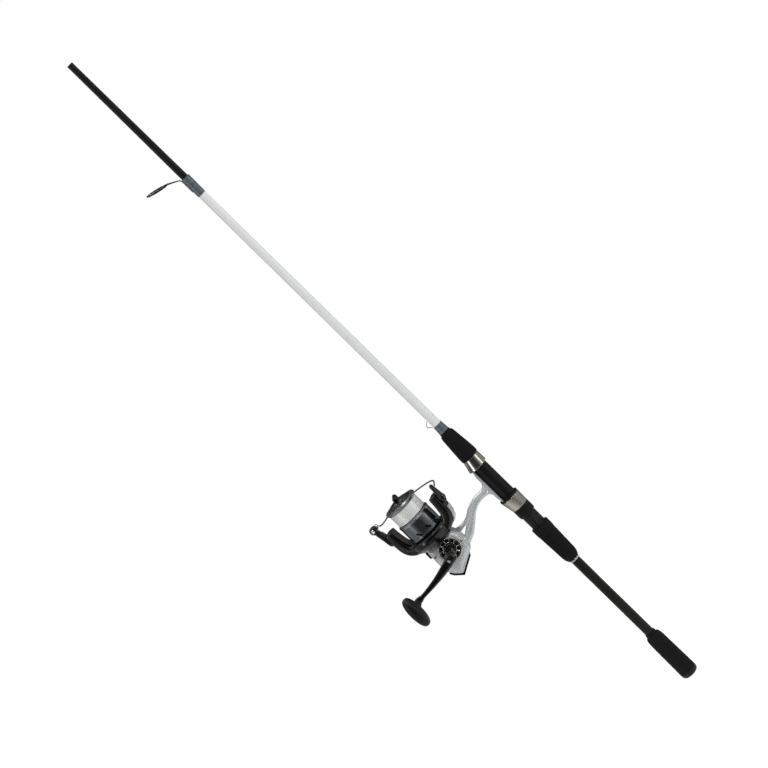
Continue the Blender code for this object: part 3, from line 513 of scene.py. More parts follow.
def make_grips():
    """Foam grips, two of them carved, with the butt cap and the collar."""
    around, pitch, depth = 23, 3.1, 0.42
    low, top = heights("butt_grip")
    carved = (low + 3.0, 62.0)
    outer = [(7.2, top), (7.4, 69.6), (9.2, 68.9), (10.3, 66.0), (10.7, 62.3),
             *dense((10.8, 61.8), (11.45, low + 3.0), 0.42), (11.5, low)]
    grip = turned("carved_butt_grip", outer + [(6.6, low), (6.4, top)], steps=176, corner=0.0,
                  relief=diamond_grooves(around, pitch, depth, 0.35, *carved))
    show(grip, "rod", FOAM, ["butt_grip"], 60)

    low, top = heights("butt_cap")
    cap = [(0, top), (11.5, top), (11.5, 5.2), (11.0, 3.0), (9.6, 1.1), (7.4, low + 0.1),
           (0, low)]
    show(turned("rounded_butt_cap", cap, closed=False, corner=0.9), "rod", RUBBER,
         ["butt_cap"])

    low, top = heights("rear_grip")
    outer = [(11.7, top), (12.15, top - 0.6), (12.15, 253.6), (11.75, 253.0),
             *dense((11.72, 252.6), (10.3, 214.5), 0.4), (9.6, 210.5), (8.3, 207.2), (7.0, low)]
    grip = turned("carved_rear_grip", outer + [(6.35, low), (6.3, top)], steps=176, corner=0.0,
                  relief=diamond_grooves(around, pitch, depth, 1.0, 213.0, 252.4))
    show(grip, "rod", FOAM, ["rear_grip"], 60)

    low, top = heights("winding_check")
    check = [(6.6, top), (6.95, top - 0.5), (6.95, low + 0.9), (6.5, low), (6.35, low),
             (6.35, top)]
    show(turned("collar_ring", check, corner=0.3, steps=64), "rod", STEEL,
         ["winding_check"])

    low, top = heights("foregrip")
    fore = [(6.9, top), (7.2, top - 0.4), (7.2, 424.4), (8.8, 423.4), (9.5, 420.0),
            (10.4, 409.0), (11.3, 398.0), (11.75, 391.0), (11.9, 390.4), (11.9, low + 0.6),
            (11.5, low), (5.95, low), (5.9, top)]
    show(turned("shaped_foregrip", fore, corner=0.7), "rod", FOAM, ["foregrip"], 60)


def make_hook_keeper():
    """A small wire loop for the hook, in front of the foregrip."""
    wire_radius = 0.5
    (x_low, _, z_low), (_, _, z_top) = (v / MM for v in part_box("hook_keeper"))
    route = [(-6.2, 0, z_low + 0.4), (-8.8, 0, z_low + 1.9), (x_low + 0.5, 0, z_low + 4.7),
             (-9.9, 0, z_low + 7.4), (-7.7, 0, z_top - 1.7), (-6.2, 0, z_top - 0.5)]
    keeper = tube("keeper_wire", smooth_path(route), wire_radius, sides=12)
    show(keeper, "rod", STEEL, ["hook_keeper"])


def make_guide():
    """The tilted ring on its leg, which thickens towards the ring, and the polished insert."""
    tilt_degrees, wire_radius, flare = 13.8, 0.75, 0.45
    low, high = (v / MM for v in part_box("guide_insert"))
    centre = (low + high) / 2
    tilt = Matrix.Rotation(radians(tilt_degrees), 4, "Y")
    place = Matrix.Translation(centre * MM) @ tilt
    ring = turned("guide_ring_and_leg", [(14.4, 0.9), (14.4, -0.9), (12.3, -0.9), (12.3, 0.9)],
                  place, corner=0.7)
    leg = [(-20.9, 0, 867.9), (-15.5, 0, 865.2), (-10.0, 0, 862.2), (-6.8, 0, 860.0),
           (-5.8, 0, 857.0), (-5.7, 0, 851.0), (-5.7, 0, 840.0)]
    path = smooth_path(leg)
    last = len(path) - 1
    radii = [wire_radius + flare * max(0.0, 1 - 3 * i / last) for i in range(last + 1)]
    join(ring, tube("leg", path, radii))
    show(ring, "rod", GLOSS_BLACK, ["guide_frame"])
    insert = [(11.6, 1.5), (12.2, 1.0), (12.2, -1.0), (11.6, -1.5), (10.7, -0.9), (10.4, 0.0),
              (10.7, 0.9)]
    show(turned("polished_guide_insert", insert, place, corner=0.5), "rod", CERAMIC,
         ["guide_insert"])


# ---------------------------------------------------------------- reel seat
def foot_room():
    """The space that the reel's foot takes under both hoods."""
    low, top = heights("hood_cushion")[0] - 3.8, heights("front_hood")[0] + 6.5
    return block("foot_room", (-13.0, -6.3, low), (-9.2, 6.3, top), corner=0.4)


def make_hood(name, node, radii, shifts, bore, material):
    """A bored cone whose centre leans towards the foot, with room cut for the foot."""
    low, top = heights(node)

    def lean(height):
        return shifts[0] + (shifts[1] - shifts[0]) * (height - low) / (top - low)

    outline = [(0, top), (radii[1], top), (radii[0], low), (0, low)]
    hood = turned(name, outline, closed=False, corner=0.6, steps=128, lean=lean)
    cut(hood, drill(cylinder(bore, top + 1, low - 1)), foot_room())
    body = "sliding_hood" if node != "front_hood" else "rod"
    show(hood, body, material, [node], 35)


def make_seat():
    """The threaded seat tube, its fluted nut, and the hoods that hold the foot."""
    low, top = heights("reel_seat")
    seat_r, barrel_r, pitch, thread_top, half_depth = 9.3, 9.75, 2.0, 300.0, 0.24
    outer = [(seat_r, top), (seat_r, 301.2), (barrel_r, 300.4),
             *dense((barrel_r, thread_top), (barrel_r, low + 1.0), 0.2), (barrel_r, low)]

    def thread(angles, z, radius):
        if radius < barrel_r - 0.01 or not low + 1.0 <= z <= thread_top:
            return np.zeros_like(angles)
        return half_depth * np.cos(2 * pi * (z / pitch - angles / (2 * pi))) - half_depth

    seat = turned("threaded_seat", outer + [(6.4, low), (6.4, top)], corner=0.0, relief=thread)
    show(seat, "rod", SEAT_BLACK, ["reel_seat"], 60)

    low, top = heights("locknut")
    flute_count, flute_depth = 18, 0.5

    def flutes(angles, z, radius):
        if radius < 11.0 or not low + 2.2 < z < top - 0.8:
            return np.zeros_like(angles)
        edge = min(1.0, (z - low - 2.2) / 0.8, (top - 0.8 - z) / 0.8)
        return -flute_depth * edge * ridge(flute_count * angles, 3)

    outer = [(11.2, top), *dense((11.3, top - 0.5), (11.3, low + 2.0), 0.4), (10.9, low)]
    nut = turned("fluted_locknut", outer + [(10.05, low), (10.05, top)], corner=0.0, steps=180,
                 relief=flutes)
    show(nut, "locknut", SEAT_BLACK, ["locknut"], 50)

    make_hood("sliding_hood_shell", "rear_hood", (11.3, 13.0), (0.1, 1.5), 10.05,
              CHAMPAGNE)
    make_hood("cushion_ring", "hood_cushion", (13.1, 13.1), (1.5, 1.5), 10.05, RUBBER)
    make_hood("front_hood_shell", "front_hood", (13.2, 11.1), (1.8, 0.1), 9.6,
              CHAMPAGNE)


# ---------------------------------------------------------------- reel body
# corners of the housing's outline, as shares of the side cover's width and height
BODY_SHAPE = ((0.018, 1.0), (0.0, 0.353), (0.128, 0.154), (0.315, 0.0), (0.961, 0.327),
              (1.0, 0.373), (1.0, 0.819), (0.904, 1.0))


def body_outline():
    """The housing's outline, in mm from the crank's axis."""
    low, high = (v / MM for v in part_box("side_cover"))
    crank = CRANK_PLACE / MM
    return [(low.x + (high.x - low.x) * x - crank.x, low.z + (high.z - low.z) * z - crank.z)
            for x, z in BODY_SHAPE]


def make_stem():
    """The curved stem: three ridges with two valleys between them along each side."""
    under = [(-84.0, 303.2), (-64.5, 311.8), (-52.4, 321.2), (-42.0, 330.0), (-32.0, 334.6),
             (-20.0, 335.0), (-14.8, 332.4), (-10.6, 322.0)]
    over = [(-84.0, 334.6), (-66.0, 331.6), (-56.0, 334.0), (-45.8, 340.0), (-32.0, 344.2),
            (-20.0, 344.8), (-14.8, 348.0), (-10.6, 357.0)]
    lower, upper = smooth_path(under, 6), smooth_path(over, 6)
    rings = []
    for a, b in zip(lower, upper):
        middle, half = (a + b) / 2, (b - a) / 2
        ring = []
        for u, wide in superellipse(1.0, 4.7, 3.4, 96):
            valley = (1 - 0.36 * np.exp(-((u + 0.2) / 0.13) ** 2)
                      - 0.16 * np.exp(-((u - 0.38) / 0.12) ** 2))
            spot = middle + half * u
            ring.append((spot.x, wide * valley, spot.y))
        rings.append(ring)
    return grid_object("stem", rings, ROD)


def make_foot():
    """The foot plate, with thinned ends for the hoods."""
    low, top = 310.5, 374.5
    outline = [(-9.65, low), (-11.6, low), (-11.6, low + 7.5), (-13.0, low + 14.0),
               (-13.0, top - 14.0), (-11.6, top - 7.5), (-11.6, top), (-9.65, top)]
    rings = []
    for wide, inset in ((-6.0, 0.4), (-5.6, 0.0), (5.6, 0.0), (6.0, 0.4)):
        rings.append([(x + (inset if x < -11 else 0), wide, z) for x, z in rounded(outline, 0.6)])
    return grid_object("foot", rings, ROD)


def make_body():
    """Housing, neck, stem and foot as one casting, hollow and open on the cover side."""
    outline = body_outline()
    back = [(3.6, -14.0), (1.6, -13.6), (0.5, -12.7), (0.0, -11.0), (0.0, 11.7)]
    housing = slab("cast_reel_body", outline, back, CRANK, 4.0)
    neck = turned("neck", cylinder(11.6, 349.2, 336.0), SPOOL, closed=False)
    join(housing, make_stem(), make_foot(), neck)
    hollow = slab("hollow", outline, [(1.7, -12.2), (1.7, 12.9)], CRANK, 3.0)
    window = [(-73.4, 318.0), (-59.4, 328.2), (-73.4, 325.4)]
    through = [[(x, y, z) for x, z in rounded(window, 0.9)] for y in (-9, 9)]
    bearing = [(0, 352.0), (10.4, 352.0), (10.4, 343.4), (8.4, 343.4), (8.4, 329.0), (0, 329.0)]
    cut(housing, hollow, grid_object("window", through, ROD), drill(cylinder(9.6, 384, 300)),
        drill(bearing, SPOOL), drill(cylinder(3.1, -9.0, -22.0), CRANK))
    cast(housing, 0.36, 8)
    show(housing, "rod", SILVER, ["body_frame"], 70)


def make_cover():
    """The crowned cover: a stepped rim, then a crown that runs in to the bearing's bore."""
    bore, low, top, radius, step = 6.9, 12.0, 16.5, 4.0, 0.8
    rim = [(0.0, low), (0.0, 13.1), (0.25, 13.7), (0.8, 14.1), (1.5, 14.3), (2.0, 14.3),
           (2.3, 14.5), (2.7, 15.0)]
    crown = [(0.07, 15.4), (0.17, 15.8), (0.3, 16.15), (0.48, 16.4), (0.7, top), (1.0, top),
             (1.0, low)]
    outline = body_outline()
    edge = [Vector(corner) for corner in inset_outline(outline, 0.0, radius)]
    counts = [max(1, round((edge[i] - edge[i - 1]).length / step)) for i in range(len(edge))]
    rings = []
    for inset, depth in rim:
        corners = inset_outline(outline, inset, radius)
        spots = [Vector(corners[i - 1]).lerp(Vector(corner), k / counts[i])
                 for i, corner in enumerate(corners) for k in range(counts[i])]
        rings.append([(spot.x, spot.y, depth) for spot in spots])
    ends = [spot.normalized() * bore for spot in spots]
    for share, depth in crown:
        rings.append([(*spot.lerp(end, share), depth) for spot, end in zip(spots, ends)])
    cover = grid_object("crowned_side_cover", rings, CRANK, around=True)
    show(cover, "rod", SILVER, ["side_cover"], 30)


def make_side_ring():
    """The ring on the cover, the spoked wheel in it, and the cap round the handle's shank."""
    spoke_count, skew = 10, 0.25
    front = -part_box("side_ring")[1].y / MM
    rim = [(13.2, front + 3.8), (14.0, front + 3.8), (15.2, front + 2.4), (15.2, front),
           (13.0, front), (13.0, front + 3.2)]
    show(turned("polished_side_ring", rim, CRANK, corner=0.5, steps=128), "rod",
         CHAMPAGNE, ["side_ring"])
    well = [(12.7, front + 0.7), (12.7, front), (7.6, front), (7.6, front + 0.7)]
    show(turned("ring_well", well, CRANK), "rod", GLOSS_BLACK, ["wheel_well"])

    spokes = turned("spoked_wheel", [(12.7, front + 2.0), (12.7, front + 1.0), (12.0, front + 1.0),
                                     (12.0, front + 2.0)], CRANK, corner=0.2)
    hub = [(8.4, front + 2.4), (8.4, front + 1.0), (7.6, front + 1.0), (7.6, front + 2.4)]
    join(spokes, turned("wheel_hub", hub, CRANK, corner=0.3))
    for i in range(spoke_count):
        spin = (CRANK @ Matrix.Rotation(2 * pi * i / spoke_count, 4, "Z")
                @ Matrix.Rotation(skew, 4, "Z"))
        spoke = block("spoke", (8.1, -0.95, front + 1.1), (12.3, 0.95, front + 2.5), spin, 0.35)
        join(spokes, spoke)
    show(spokes, "rod", BRIGHT_CHROME, ["spoke_wheel"])

    cap = [(6.4, front + 5.0), (7.3, front + 4.2), (7.3, front), (3.5, front), (3.5, front + 5.0)]
    show(turned("hub_cap", cap, CRANK, corner=0.6), "rod", SEAT_BLACK,
         ["bearing_cap"])


def softened_copy(name, node, body, material, width=0.35):
    """A node's own shape with its edges rounded."""
    made = link(name, frame["nodes"][node].data.copy())
    mesh = bmesh.new()
    mesh.from_mesh(made.data)
    bmesh.ops.remove_doubles(mesh, verts=mesh.verts, dist=1e-6)
    bmesh.ops.dissolve_limit(mesh, angle_limit=radians(1), verts=mesh.verts, edges=mesh.edges)
    mesh.to_mesh(made.data)
    mesh.free()
    apply_modifier(made, "BEVEL", width=width * MM, segments=3, limit_method="ANGLE",
                   angle_limit=radians(30))
    return show(made, body, material, [node], 45)


def make_body_trim():
    """Guard, lever, screws and the knurled cap over the drive shaft's far end."""
    softened_copy("corner_guard", "rear_guard", "rod", GLOSS_BLACK)
    softened_copy("reverse_lever", "anti_reverse_lever", "anti_reverse_lever",
                  SEAT_BLACK, 0.5)
    for i in (1, 2):
        softened_copy(f"cover_screw_head_{i}", f"cover_screw_{i}", "rod", STEEL, 0.1)
    ridges, ridge_depth = 36, 0.25
    low, high = (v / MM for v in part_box("handle_cap"))
    cap = [(0, -low.y), (8.0, -low.y), (8.5, -low.y - 0.8), (8.3, -low.y - 4.6),
           (6.6, -low.y - 5.8), (0, -high.y)]

    def knurl(angles, z, radius):
        return -ridge_depth * ridge(ridges * angles, 3) * (radius > 8.0)

    cover = turned("knurled_shaft_cap", cap, CRANK, closed=False, corner=0.6, steps=216,
                   relief=knurl)
    show(cover, "rod", SEAT_BLACK, ["handle_cap"], 50)


# ---------------------------------------------------------------- rotor and bail
def make_rotor():
    """The bowl and its two curved arms, melted into one shell."""
    bowl = [(17.3, 372.0), (17.3, 354.0), (26.4, 354.0), (28.4, 352.6), (29.0, 349.5),
            (28.2, 345.4), (25.8, 341.2), (22.6, 338.8), (12.9, 338.8), (12.9, 350.2),
            (4.3, 350.2), (4.3, 356.4), (15.3, 356.4), (15.3, 372.0)]
    rotor = turned("rotor_shell", bowl, ROTOR, corner=0.8, steps=128)
    outer = [(20.0, 339.6), (26.0, 339.8), (32.0, 342.0), (38.2, 347.6), (41.6, 354.8),
             (43.0, 363.0), (43.2, 374.0), (43.2, 383.3)]
    inner = [(20.0, 350.0), (23.5, 351.5), (26.2, 354.6), (28.8, 358.0), (30.6, 362.0),
             (31.6, 367.0), (32.6, 375.0), (33.2, 383.3)]
    outside, inside = smooth_path(outer, 6), smooth_path(inner, 6)
    last = len(outside) - 1
    for turn in (0, pi):
        rings = []
        for i, (a, b) in enumerate(zip(outside, inside)):
            t = i / last
            middle, half = (a + b) / 2, (a - b) / 2
            wide = 12.4 - 2.6 * t
            ring = [(middle.x + half.x * u, v, middle.y + half.y * u)
                    for u, v in superellipse(1.0, wide, 3.2 + 2.0 * t, 48)]
            rings.append(ring)
        place = ROTOR @ Matrix.Rotation(turn, 4, "Z")
        join(rotor, grid_object("rotor_arm", rings, place))
    cast(rotor, 0.4, 9)
    show(rotor, "rotor", GLOSS_BLACK, ["rotor"], 70)
    softened_copy("rotor_arm_trim", "rotor_trim", "rotor", SILVER, 0.3)


def pill(name, discs, place, count=48):
    """The tight skin round upright discs: each is (near, far, across, height, radius)."""
    body = bmesh.new()
    for near, far, across, height, radius in discs:
        for depth, size in ((near, radius - 0.9), (near + 0.4, radius - 0.25),
                            (near + 0.9, radius), (far - 0.9, radius),
                            (far - 0.4, radius - 0.25), (far, radius - 0.9)):
            for k in range(count):
                a = 2 * pi * k / count
                body.verts.new((depth * MM, (across + size * cos(a)) * MM,
                                (height + size * sin(a)) * MM))
    bmesh.ops.convex_hull(body, input=body.verts)
    loose = [vert for vert in body.verts if not vert.link_faces]
    bmesh.ops.delete(body, geom=loose, context="VERTS")
    mesh = bpy.data.meshes.new(name)
    body.to_mesh(mesh)
    body.free()
    mesh.transform(place)
    return link(name, mesh)


def make_bail():
    """Both bail arms, the line roller with its screw, the wire and the pivot screws."""
    near, wire_radius, cone_radius = 43.6, 0.95, 2.9
    left = BAIL @ Matrix.Rotation(pi, 4, "Z")
    roller = Matrix.Translation(joint_place("line_roller_spin"))
    axis = Vector(JOINTS["line_roller_spin"]["axis"])
    along = roller @ Vector((0, 0, 1)).rotation_difference(axis).to_matrix().to_4x4()
    arm = pill("bail_arm_shell", ((near, near + 4.0, 0, 0, 7.4),
                                  (near + 3.8, near + 8.2, 1.5, 22.6, 4.9)), left)
    join(arm, turned("mount", cylinder(5.1, 3.0, -3.2), along, closed=False, corner=0.8))
    room = [(0, 9.6), (9.0, 9.6), (9.0, 3.0), (1.6, 3.0), (1.6, -2.6), (3.0, -2.6),
            (3.0, -12.0), (0, -12.0)]
    pocket = [(0, 60.0), (4.0, 60.0), (4.0, 47.6), (2.1, 47.6), (2.1, 40.0), (0, 40.0)]
    to_left = BAIL @ Matrix.Rotation(-pi / 2, 4, "Y")
    cut(arm, drill(room, along), drill(pocket, to_left))
    cast(arm, 0.26, 6)
    show(arm, "bail", GLOSS_BLACK, ["bail_arm"], 70)

    other = pill("bail_arm_opposite_shell", ((near, near + 3.2, 0, 0, 7.0),
                                             (near, near + 3.2, -0.5, 17.5, 3.4)), BAIL)
    cut(other, drill(cylinder(2.1, 52.0, 40.0), BAIL @ Matrix.Rotation(pi / 2, 4, "Y")))
    show(other, "bail", GLOSS_BLACK, ["bail_arm_opposite"], 40)

    groove = [(3.6, 8.2), (4.2, 7.6), (3.2, 5.8), (4.2, 4.0), (3.6, 3.4), (1.6, 3.4), (1.6, 8.2)]
    show(turned("grooved_line_roller", groove, along, corner=0.5, steps=64), "line_roller",
         BRIGHT_CHROME, ["line_roller"])
    screw = [(0, 10.2), (1.3, 10.2), (1.3, -2.7), (2.7, -2.7), (2.7, -4.0), (2.1, -4.6),
             (1.4, -4.6), (1.1, -3.4), (0, -3.4)]
    show(turned("roller_screw_head", screw, along, closed=False, corner=0.2, steps=48), "bail",
         BRIGHT_CHROME, ["roller_screw"])

    base = BAIL.inverted() @ along
    start, neck = ((base @ Vector((0, 0, d * MM))) / MM for d in (8.6, 11.0))
    route = [(-48.9, 12.2, 22.0), (-48.2, 14.6, 19.6), (-46.4, 18.2, 18.2), (-43.2, 23.0, 18.2),
             (-38.0, 29.0, 19.1), (-30.0, 34.5, 19.5), (-18.0, 38.6, 19.3), (-3.0, 39.8, 18.8),
             (12.0, 38.0, 18.4), (26.0, 33.6, 18.2), (38.0, 25.0, 18.4), (46.4, 13.0, 18.8),
             (50.0, 4.0, 19.2), (50.6, -0.2, 18.4), (49.6, -0.6, 16.8), (47.3, -0.6, 16.2)]
    path = smooth_path([neck, *route], 6)
    radii = [max(wire_radius, cone_radius - 0.33 * i) for i in range(len(path))]
    bail_wire = tube("bent_bail_wire", [start, *path], [cone_radius, *radii], BAIL)
    cut(bail_wire, drill(cylinder(1.6, 10.6, 6.0), along))
    show(bail_wire, "bail", [DARK_CHROME, BRIGHT_CHROME], ["bail_wire"], 50)
    cone = BAIL @ (start * MM)
    paint(bail_wire, 1, lambda c: (c * MM - cone).length < 7 * MM)

    for name, side, outside in (("left", -1, 47.9), ("right", 1, 47.1)):
        head = [(0, outside + 2.0), (3.0, outside + 1.8), (3.6, outside + 1.2), (3.6, outside),
                (1.8, outside), (1.8, 37.0), (0, 37.0)]
        place = BAIL @ Matrix.Rotation(side * pi / 2, 4, "Y")
        show(turned(f"pivot_screw_{name}", head, place, closed=False, steps=48), "rotor",
             DARK_CHROME, [f"bail_screw_{name}"])


# ---------------------------------------------------------------- spool
def make_spool():
    """The spool with its slotted skirt, and the line wound on it."""
    slots, first, slant, slot_height, skirt_radius = 9, radians(10), radians(45), 362.0, 22.5
    bottom, top = heights("spool")
    profile = [(16.7, top), (21.9, top - 0.2), (22.9, 401.6), (21.6, 399.2), (15.0, 399.0),
               (15.0, 381.4), (21.6, 381.2), (23.1, 379.6), (22.3, 377.6), (22.5, 364.0),
               (22.4, 359.4), (22.1, 359.0), (22.1, 358.6), (22.3, 358.2), (22.1, bottom),
               (20.9, bottom), (20.7, 377.2), (2.5, 377.2), (2.5, 390.9), (12.6, 390.9),
               (12.6, 400.6), (16.4, 400.9)]
    spool = turned("turned_spool", profile, SPOOL, corner=0.45, steps=144)
    for i in range(slots):
        spot = (SPOOL @ Matrix.Rotation(first + 2 * pi * i / slots, 4, "Z")
                @ Matrix.Translation((skirt_radius * MM, 0, slot_height * MM))
                @ Matrix.Rotation(slant, 4, "X"))
        cut(spool, block("slot", (-3, -1.15, -3.7), (3, 1.15, 3.7), spot, 0.3))
    show(spool, "spool", [GUNMETAL, SKIRT_GLOSS], ["spool"], 35)
    paint(spool, 1, lambda c: c.z < 379.0)

    low, high = heights("wound_line")
    laid_pitch, crossed_pitch = 0.62, 2.9

    def windings(angles, z, radius):
        if radius < 18:
            return np.zeros_like(angles)
        laid = 0.045 * np.cos(2 * pi * (z / laid_pitch - angles / (2 * pi)))
        crossed = 0.03 * np.cos(2 * pi * (z / crossed_pitch + 3 * angles / (2 * pi)))
        return laid + crossed - 0.07

    wall = [(20.5, high), *dense((20.75, high - 0.5), (20.75, low + 0.5), 0.13), (20.5, low)]
    line = turned("wound_fishing_line", wall + [(15.3, low), (15.3, high)], SPOOL, corner=0,
                  steps=128, relief=windings)
    show(line, "spool", LINE, ["wound_line"], 80)


def make_drag_knob():
    """The domed knob with a gripped edge and a fin across its top."""
    ridges, ridge_depth = 24, 0.3
    knob = [(0, 408.0), (7.0, 407.6), (12.4, 406.2), (15.4, 404.4), (16.1, 402.9),
            (15.6, 401.3), (11.8, 401.0), (11.8, 394.9), (2.5, 394.9), (2.5, 403.5), (0, 403.5)]

    def grip_edge(angles, z, radius):
        return -ridge_depth * ridge(ridges * angles, 4) * (radius > 15.0)

    drag = turned("domed_drag_knob", knob, SPOOL, closed=False, corner=0.6, steps=192,
                  relief=grip_edge)
    join(drag, block("fin", (-3.1, -10.2, 404.0), (3.1, 10.2, 414.2), SPOOL, 2.2))
    cast(drag, 0.26, 6)
    show(drag, "drag_knob", [GLOSS_BLACK], ["drag_knob"], 70)


# ---------------------------------------------------------------- handle
def make_handle():
    """The shank with its tongue, the forked arm that folds on it, and the pin."""
    fold_reach, start = 12.0, 22.1
    end = FOLD_PLACE.y / -MM - fold_reach
    shank = [(0, end), (4.5, end), (5.0, end - 1.5), (6.5, 34.0), (6.9, 27.0), (6.9, start),
             (3.1, start), (3.1, 32.3), (0, 32.3)]
    handle = turned("tapered_shank", shank, CRANK, closed=False, corner=0.7)
    join(handle, block("tongue", (-3.4, -2.4, -13.0), (3.4, 2.4, 3.8), FOLD, 0.7))
    show(handle, "crank", GLOSS_BLACK, ["handle_shank"], 45)

    stations = [(5.7, 0.6, 2.4), (5.2, 3.2, 3.1), (3.5, 5.2, 3.2), (0.0, 5.7, 3.2),
                (-6.0, 5.7, 3.2), (-16.0, 5.3, 3.1), (-30.0, 4.2, 2.9), (-44.0, 3.3, 2.7),
                (-57.0, 2.8, 2.6), (-ARM_LENGTH + 3.5, 4.1, 2.8), (-ARM_LENGTH, 4.4, 2.9),
                (-ARM_LENGTH - 2.6, 3.8, 2.6), (-ARM_LENGTH - 4.3, 0.8, 1.2)]
    rings = []
    for spot in smooth_path(stations, 5):
        across, thick = max(spot.y, 0.2), max(spot.z, 0.2)
        bow = -2.0 * sin(pi * min(1.0, -spot.x / ARM_LENGTH)) if spot.x < 0 else 0.0
        rings.append([(spot.x, v + bow, w) for v, w in superellipse(across, thick, 2.9, 40)])
    arm = grid_object("forked_handle_arm", rings, FOLD)
    cut(arm, block("fork", (-7.0, -2.5, -9), (9, 2.5, 9), FOLD, 0.3))
    cast(arm, 0.25, 8)
    show(arm, "handle_arm", GLOSS_BLACK, ["handle_arm"], 70)

    across = FOLD @ Matrix.Rotation(pi / 2, 4, "X")
    pin = turned("fold_pin_rod", cylinder(1.3, 5.5, -5.5), across, closed=False, steps=32)
    show(pin, "handle_arm", DARK_CHROME, ["fold_pin"])


def make_knob():
    """An oval paddle on a short neck, bored for its spindle."""
    low, top, stations = 23.5, 46.5, 48
    middle, half = (low + top) / 2, (top - low) / 2
    rings = []
    for k in range(stations + 1):
        a = pi * k / stations
        size = max(0.02, sin(a)) ** 0.72
        rings.append([(x * size, -21.3 * cos(a), middle + z * size)
                      for x, z in superellipse(7.8, half, 2.4, 64)])
    knob = grid_object("paddle_knob", rings, KNOB)
    neck = [(0, low + 9), (6.4, low + 5), (5.3, low), (4.75, low - 5), (4.6, 6.0), (4.3, 5.2),
            (0, 5.2)]
    join(knob, turned("neck", neck, KNOB, closed=False, corner=0.4))
    cast(knob, 0.38, 4)
    cut(knob, drill(cylinder(2.3, top - 4.6, 0), KNOB, 48))
    show(knob, "handle_knob", RUBBER, ["handle_knob"], 50)


# ---------------------------------------------------------------- pieces left as the frame has them
PLAIN = {
    "drive_gear": BRASS, "pinion_gear": BRASS, "oscillation_gear": BRASS, "main_shaft": STEEL,
    "drive_bearing_cover": STEEL, "drive_bearing_body": STEEL, "pinion_bearing": STEEL,
    "one_way_clutch": STEEL, "oscillation_slider": SEAT_BLACK, "click_ratchet": SEAT_BLACK,
    "drag_washer_1": FELT, "drag_washer_2": STEEL, "drag_washer_3": FELT, "rotor_nut": STEEL,
    "knob_spindle": STEEL,
}


def dress_plain_nodes():
    """Give the inner pieces a procedural material and leave their shapes alone."""
    for node, made in PLAIN.items():
        held = frame["nodes"][node]
        held.data.materials.clear()
        held.data.materials.append(made)


# ---------------------------------------------------------------- stage
def make_floor():
    """A round pale floor just under the butt, which gives off its own light."""
    size, drop, sides = 0.7, 0.004, 64
    mesh = bpy.data.meshes.new("floor")
    corners = [(size * cos(2 * pi * k / sides), size * sin(2 * pi * k / sides), -drop)
               for k in range(sides)]
    mesh.from_pydata(corners, [], [tuple(range(sides))])
    floor = link("floor", mesh)
    made = start_material("pale_floor", (0.15, 0.15, 0.15), 0.9)
    shader = made.node_tree.nodes["Principled BSDF"]
    shader.inputs["Emission Color"].default_value = (1.0, 1.0, 1.0, 1.0)
    shader.inputs["Emission Strength"].default_value = 1.0
    mesh.materials.append(made)


def make_softbox(name, place, size, power):
    """A soft area light that faces the middle of the rod."""
    lamp = bpy.data.lights.new(name, "AREA")
    lamp.shape = "RECTANGLE"
    lamp.size, lamp.size_y = size
    lamp.energy = power
    holder = link(name, lamp)
    holder.location = place
    target = Vector((0, 0, 0.45))
    holder.rotation_euler = (target - Vector(place)).to_track_quat("-Z", "Y").to_euler()


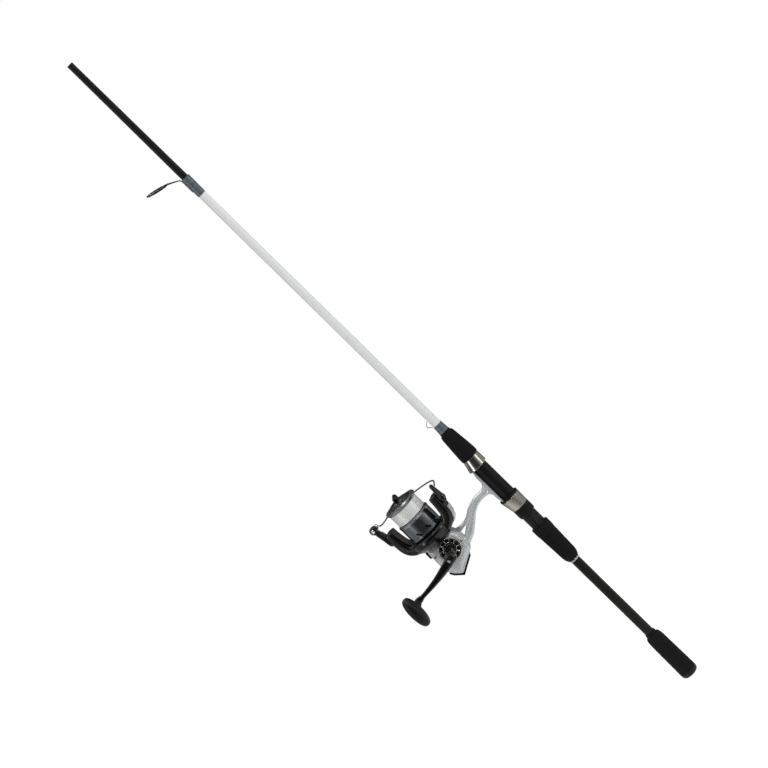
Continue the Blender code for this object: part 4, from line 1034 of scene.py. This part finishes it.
def make_light():
    """A white tent that is dim towards the viewer, bright at the sides and on top."""
    world = bpy.data.worlds.new("studio")
    bpy.context.scene.world = world
    world.use_nodes = True
    nodes, links = world.node_tree.nodes, world.node_tree.links
    coords = nodes.new("ShaderNodeTexCoord")
    parts = nodes.new("ShaderNodeSeparateXYZ")
    links.new(coords.outputs["Generated"], parts.inputs["Vector"])

    def math(operation, *sources):
        node = nodes.new("ShaderNodeMath")
        node.operation = operation
        for i, source in enumerate(sources):
            if isinstance(source, float):
                node.inputs[i].default_value = source
            else:
                links.new(source, node.inputs[i])
        return node.outputs[0]

    def panel(source, start, full, brightness):
        ramp = nodes.new("ShaderNodeMapRange")
        ramp.interpolation_type = "SMOOTHSTEP"
        ramp.inputs["From Min"].default_value = start
        ramp.inputs["From Max"].default_value = full
        ramp.inputs["To Max"].default_value = brightness
        links.new(source, ramp.inputs["Value"])
        return ramp.outputs["Result"]

    sides = panel(math("ABSOLUTE", parts.outputs["X"]), 0.35, 0.85, 0.42)
    ceiling = panel(parts.outputs["Z"], 0.35, 0.95, 0.85)
    tent = math("ADD", math("ADD", sides, ceiling), 0.05)
    seen = nodes.new("ShaderNodeLightPath")
    mixed = nodes.new("ShaderNodeMix")
    links.new(seen.outputs["Is Camera Ray"], mixed.inputs[0])
    links.new(tent, mixed.inputs[2])
    mixed.inputs[3].default_value = 1.0
    background = nodes["Background"]
    links.new(mixed.outputs[0], background.inputs["Strength"])
    background.inputs["Color"].default_value = (1, 1, 1, 1)
    make_softbox("key", (-1.9, -1.25, 0.9), (0.45, 1.5), 11.0)
    make_softbox("fill", (2.1, -0.9, 0.8), (0.45, 1.5), 9.0)
    make_softbox("overhead", (0.6, -1.2, 2.3), (0.8, 0.5), 26.0)
    make_softbox("back", (-0.4, 1.3, 2.2), (0.8, 0.5), 12.0)


def make_camera():
    """The view: a little to the right and above, rolled so that the rod lies diagonally."""
    azimuth, elevation, roll = radians(7.0), radians(8.5), radians(45.65)
    distance, field = 3.6, 0.9139
    target = Vector((-0.01007, 0, 0.51857))
    back = Vector((sin(azimuth) * cos(elevation), -cos(azimuth) * cos(elevation),
                   sin(elevation)))
    right = Vector((cos(azimuth), sin(azimuth), 0))
    up = back.cross(right)
    across = right * cos(roll) - up * sin(roll)
    above = right * sin(roll) + up * cos(roll)
    lens = bpy.data.cameras.new("camera")
    lens.sensor_width = 36.0
    lens.lens = lens.sensor_width * distance / field
    camera = link("camera", lens)
    turned_view = Matrix((across, above, back)).transposed().to_4x4()
    camera.matrix_world = Matrix.Translation(target + back * distance) @ turned_view
    bpy.context.scene.camera = camera
    bpy.context.scene.view_settings.view_transform = "Standard"


make_camera()
make_light()
make_floor()
make_blank()
make_wraps()
make_grips()
make_hook_keeper()
make_guide()
make_seat()
make_body()
make_cover()
make_side_ring()
make_body_trim()
make_rotor()
make_bail()
make_spool()
make_drag_knob()
make_handle()
make_knob()
dress_plain_nodes()
